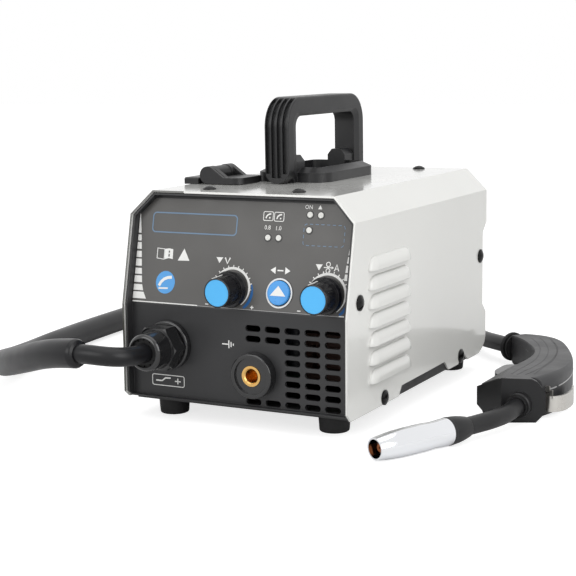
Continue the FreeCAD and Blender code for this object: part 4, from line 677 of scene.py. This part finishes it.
def button_marks():
    """White ring on the bezel and a white arrow head on the button."""
    label_level = on_label(0.0335, 0.0971).dot(NORMAL)
    ring = stroke(arc(33.5, 97.1, 9.55, 0, 360, 60)[:-1], 1.15, closed=True)
    print_on("bezel_ring", ring, "ink_white", on_label, lift=0.00066)
    out = highest("choose_button", NORMAL) - label_level
    head = [(27.5, 95.1), (39.5, 95.1), (33.5, 102.0)]
    print_on("button_arrow", [head], "ink_white", on_label, body="choose_button", lift=out + 0.00002)


button_marks()


def pointer(name, body, x):
    """White line along a knob's grip, towards the upper left at rest."""
    angle = math.radians(-20)
    out = Vector((math.sin(angle), 0, math.cos(angle)))
    side = Vector((out.z, 0, -out.x))
    middle = Vector((x, 0, KNOB_Z / 1000))
    verts = []
    w, sunk, proud = 0.0008, 0.0003, 0.0004
    for y, radius in ((-0.1338, 0.01085), (-0.1462, 0.01032)):
        for across, lift in ((-w, -sunk), (w, -sunk), (w, proud), (-w, proud)):
            verts.append(middle + Vector((0, y, 0)) + out * (radius + lift) + side * across)
    faces = [(0, 1, 2, 3), (7, 6, 5, 4), (0, 4, 5, 1), (1, 5, 6, 2), (2, 6, 7, 3), (3, 7, 4, 0)]
    mesh_piece(name, verts, faces, "ink_white", body, smooth=False)


pointer("voltage_pointer", "voltage_knob", LEFT_KNOB_X / 1000)
pointer("speed_pointer", "speed_knob", RIGHT_KNOB_X / 1000)


def side_line(node, height, outer, y_low, y_high):
    """Points of a node's outline at a height: the outer or the inner side of the torch handle."""
    best = {}
    for v in nodes[node].data.vertices:
        if abs(v.co.z - height) > 0.00005 or not y_low <= v.co.y <= y_high:
            continue
        key = round(v.co.y / 0.003)
        if key not in best or (v.co.x > best[key].x) == outer:
            best[key] = v.co.copy()
    return [best[k] for k in sorted(best)]


def ribbon(name, places, ups, width, thick, material):
    """A flat strip along points: ups gives the way it stands out at each, width lies across it."""
    verts, faces = [], []
    for i, (place, up) in enumerate(zip(places, ups)):
        way = (places[min(i + 1, len(places) - 1)] - places[max(i - 1, 0)]).normalized()
        across = way.cross(up).normalized() * (width / 2)
        low, high = place - up * 0.0002, place + up * thick
        verts += [low - across, low + across, high + across, high - across]
    for i in range(len(places) - 1):
        a, b = 4 * i, 4 * i + 4
        for k in range(4):
            n = (k + 1) % 4
            faces.append((a + k, a + n, b + n, b + k))
    last = 4 * (len(places) - 1)
    faces += [(3, 2, 1, 0), (last, last + 1, last + 2, last + 3)]
    return mesh_piece(name, verts, faces, material, "case", smooth=False)


def torch_lines():
    """The pale seam between the handle's halves, and dark contour lines on its top: painted shade
    standing in for engraved grooves.
    """
    seam = side_line("torch_handle_upper", 0.020, True, -0.018, 0.135)
    if len(seam) > 4:
        ups = []
        for i in range(len(seam)):
            way = (seam[min(i + 1, len(seam) - 1)] - seam[max(i - 1, 0)]).normalized()
            ups.append(way.cross(Vector((0, 0, 1))))
        ribbon("torch_seam", seam, ups, 0.0009, 0.00012, "seam_grey")
    upper = nodes["torch_handle_upper"].data
    faces = [tuple(p.vertices) for p in upper.polygons]
    ground = BVHTree.FromPolygons([v.co for v in upper.vertices], faces)
    # The contour lines are dark strips of painted shade where the top has engraved grooves.
    lines = [
        [(129, 128.7), (140.1, 109.1), (151.1, 81.8), (159.9, 45), (161.8, 16.8),
         (162, -3.2), (162.1, -18.7)],
        [(133.3, 135.6), (145, 113.9), (157.9, 81.1), (166.5, 44.4), (168.5, 12.6),
         (167.4, -4), (166.2, -18.5)],
        [(141.5, 135.5), (149.7, 120.8), (163.9, 84.2), (171.5, 49), (174.2, 17.4),
         (173.6, -2.8), (171.8, -16)],
        [(147, 124.5), (158.1, 102.8), (167.3, 73.3), (173.6, 40.2), (175.7, 10.7), (177.4, -13.5)],
    ]
    for k, line in enumerate(lines):
        line = [Vector(point) for point in line]
        fine = []
        for i in range(len(line) - 1):
            p0, p1 = line[max(0, i - 1)], line[i]
            p2, p3 = line[i + 1], line[min(len(line) - 1, i + 2)]
            for s in range(10):
                t = s / 10
                q = 0.5 * ((2 * p1) + (p2 - p0) * t + (2 * p0 - 5 * p1 + 4 * p2 - p3) * t * t
                           + (3 * p1 - p0 - 3 * p2 + p3) * t ** 3)
                fine.append(q)
        places, ups = [], []
        for q in fine:
            above = Vector((q.x / 1000, q.y / 1000, 0.06))
            place, normal = ground.ray_cast(above, Vector((0, 0, -1)))[:2]
            if place is not None and normal.z > 0.75 and place.z > 0.02:
                places.append(place)
                ups.append(normal)
        if len(places) > 3:
            ribbon("torch_contour_shade_%d" % (k + 1), places, ups, 0.0009, 0.00008, "line_dark")


torch_lines()


# Stage, light and camera
def stage():
    """Pale floor, brighter to the camera alone so that it meets the white behind it, and the world."""
    material, tree, shader = new_material("pale_floor")
    out = [n for n in tree.nodes if n.type == "OUTPUT_MATERIAL"][0]
    shader.inputs["Roughness"].default_value = 0.75
    shader.inputs["Specular IOR Level"].default_value = 0.2
    glow = tree.nodes.new("ShaderNodeEmission")
    glow.inputs["Strength"].default_value = 1.0
    path = tree.nodes.new("ShaderNodeLightPath")
    some = tree.nodes.new("ShaderNodeMath")
    some.operation = "MULTIPLY"
    some.inputs[1].default_value = 0.74
    tree.links.new(path.outputs["Is Camera Ray"], some.inputs[0])
    tree.links.new(some.outputs["Value"], glow.inputs["Strength"])
    tone = tree.nodes.new("ShaderNodeMapRange")
    tone.inputs["To Min"].default_value = 0.86
    tone.inputs["To Max"].default_value = 0.54
    tree.links.new(path.outputs["Is Camera Ray"], tone.inputs["Value"])
    tree.links.new(tone.outputs["Result"], shader.inputs["Base Color"])
    add = tree.nodes.new("ShaderNodeAddShader")
    tree.links.new(shader.outputs["BSDF"], add.inputs[0])
    tree.links.new(glow.outputs["Emission"], add.inputs[1])
    tree.links.new(add.outputs["Shader"], out.inputs["Surface"])
    mesh = bpy.data.meshes.new("floor")
    size = 6.0
    corners = [(-size, -size, 0), (size, -size, 0), (size, size, 0), (-size, size, 0)]
    mesh.from_pydata(corners, [], [(0, 1, 2, 3)])
    floor = link(bpy.data.objects.new("floor", mesh))
    floor.data.materials.append(material)

    world = bpy.data.worlds.new("studio")
    scene.world = world
    world.use_nodes = True
    tree = world.node_tree
    tree.nodes.clear()
    out = tree.nodes.new("ShaderNodeOutputWorld")
    ambient = tree.nodes.new("ShaderNodeBackground")
    ambient.inputs["Color"].default_value = (1, 1, 1, 1)
    ambient.inputs["Strength"].default_value = 0.55
    white = tree.nodes.new("ShaderNodeBackground")
    white.inputs["Color"].default_value = (1, 1, 1, 1)
    white.inputs["Strength"].default_value = 1.0
    path = tree.nodes.new("ShaderNodeLightPath")
    mix = tree.nodes.new("ShaderNodeMixShader")
    seen = tree.nodes.new("ShaderNodeMath")
    seen.operation = "MAXIMUM"
    tree.links.new(path.outputs["Is Camera Ray"], seen.inputs[0])
    tree.links.new(path.outputs["Is Glossy Ray"], seen.inputs[1])
    tree.links.new(seen.outputs["Value"], mix.inputs["Fac"])
    tree.links.new(ambient.outputs["Background"], mix.inputs[1])
    tree.links.new(white.outputs["Background"], mix.inputs[2])
    tree.links.new(mix.outputs["Shader"], out.inputs["Surface"])


def area_light(name, place, target, size, power):
    data = bpy.data.lights.new(name, "AREA")
    data.shape = "RECTANGLE"
    data.size = size[0]
    data.size_y = size[1]
    data.energy = power
    lamp = link(bpy.data.objects.new(name, data))
    lamp.location = place
    way = Vector(target) - Vector(place)
    lamp.rotation_mode = "QUATERNION"
    lamp.rotation_quaternion = way.to_track_quat("-Z", "Y")
    return lamp


def lights():
    area_light("top_light", (0.1, -0.1, 1.5), (0, 0, 0.05), (1.6, 1.6), 8.0)
    area_light("right_light", (1.5, -0.6, 0.8), (0.05, 0, 0.08), (1.2, 1.2), 12.2)
    area_light("front_light", (-0.5, -1.7, 0.9), (0, 0, 0.1), (1.4, 1.0), 10.0)


def camera():
    azimuth, elevation, roll = math.radians(28.026), math.radians(9.22), math.radians(-0.948)
    level = math.cos(elevation)
    back = Vector((math.sin(azimuth) * level, -math.cos(azimuth) * level, math.sin(elevation)))
    right = Vector((0, 0, 1)).cross(back).normalized()
    up = back.cross(right)
    c, s = math.cos(roll), math.sin(roll)
    turned_right = right * c + up * s
    turned_up = up * c - right * s
    data = bpy.data.cameras.new("camera")
    data.lens = 88.618
    data.sensor_width = 36.0
    data.sensor_fit = "HORIZONTAL"
    data.clip_start = 0.02
    data.clip_end = 50.0
    obj = link(bpy.data.objects.new("camera", data))
    turn = Matrix((turned_right, turned_up, back)).transposed().to_4x4()
    obj.matrix_world = Matrix.Translation((0.4875, -0.9674, 0.2558)) @ turn
    scene.camera = obj


stage()
lights()
camera()
scene.view_settings.view_transform = "Standard"
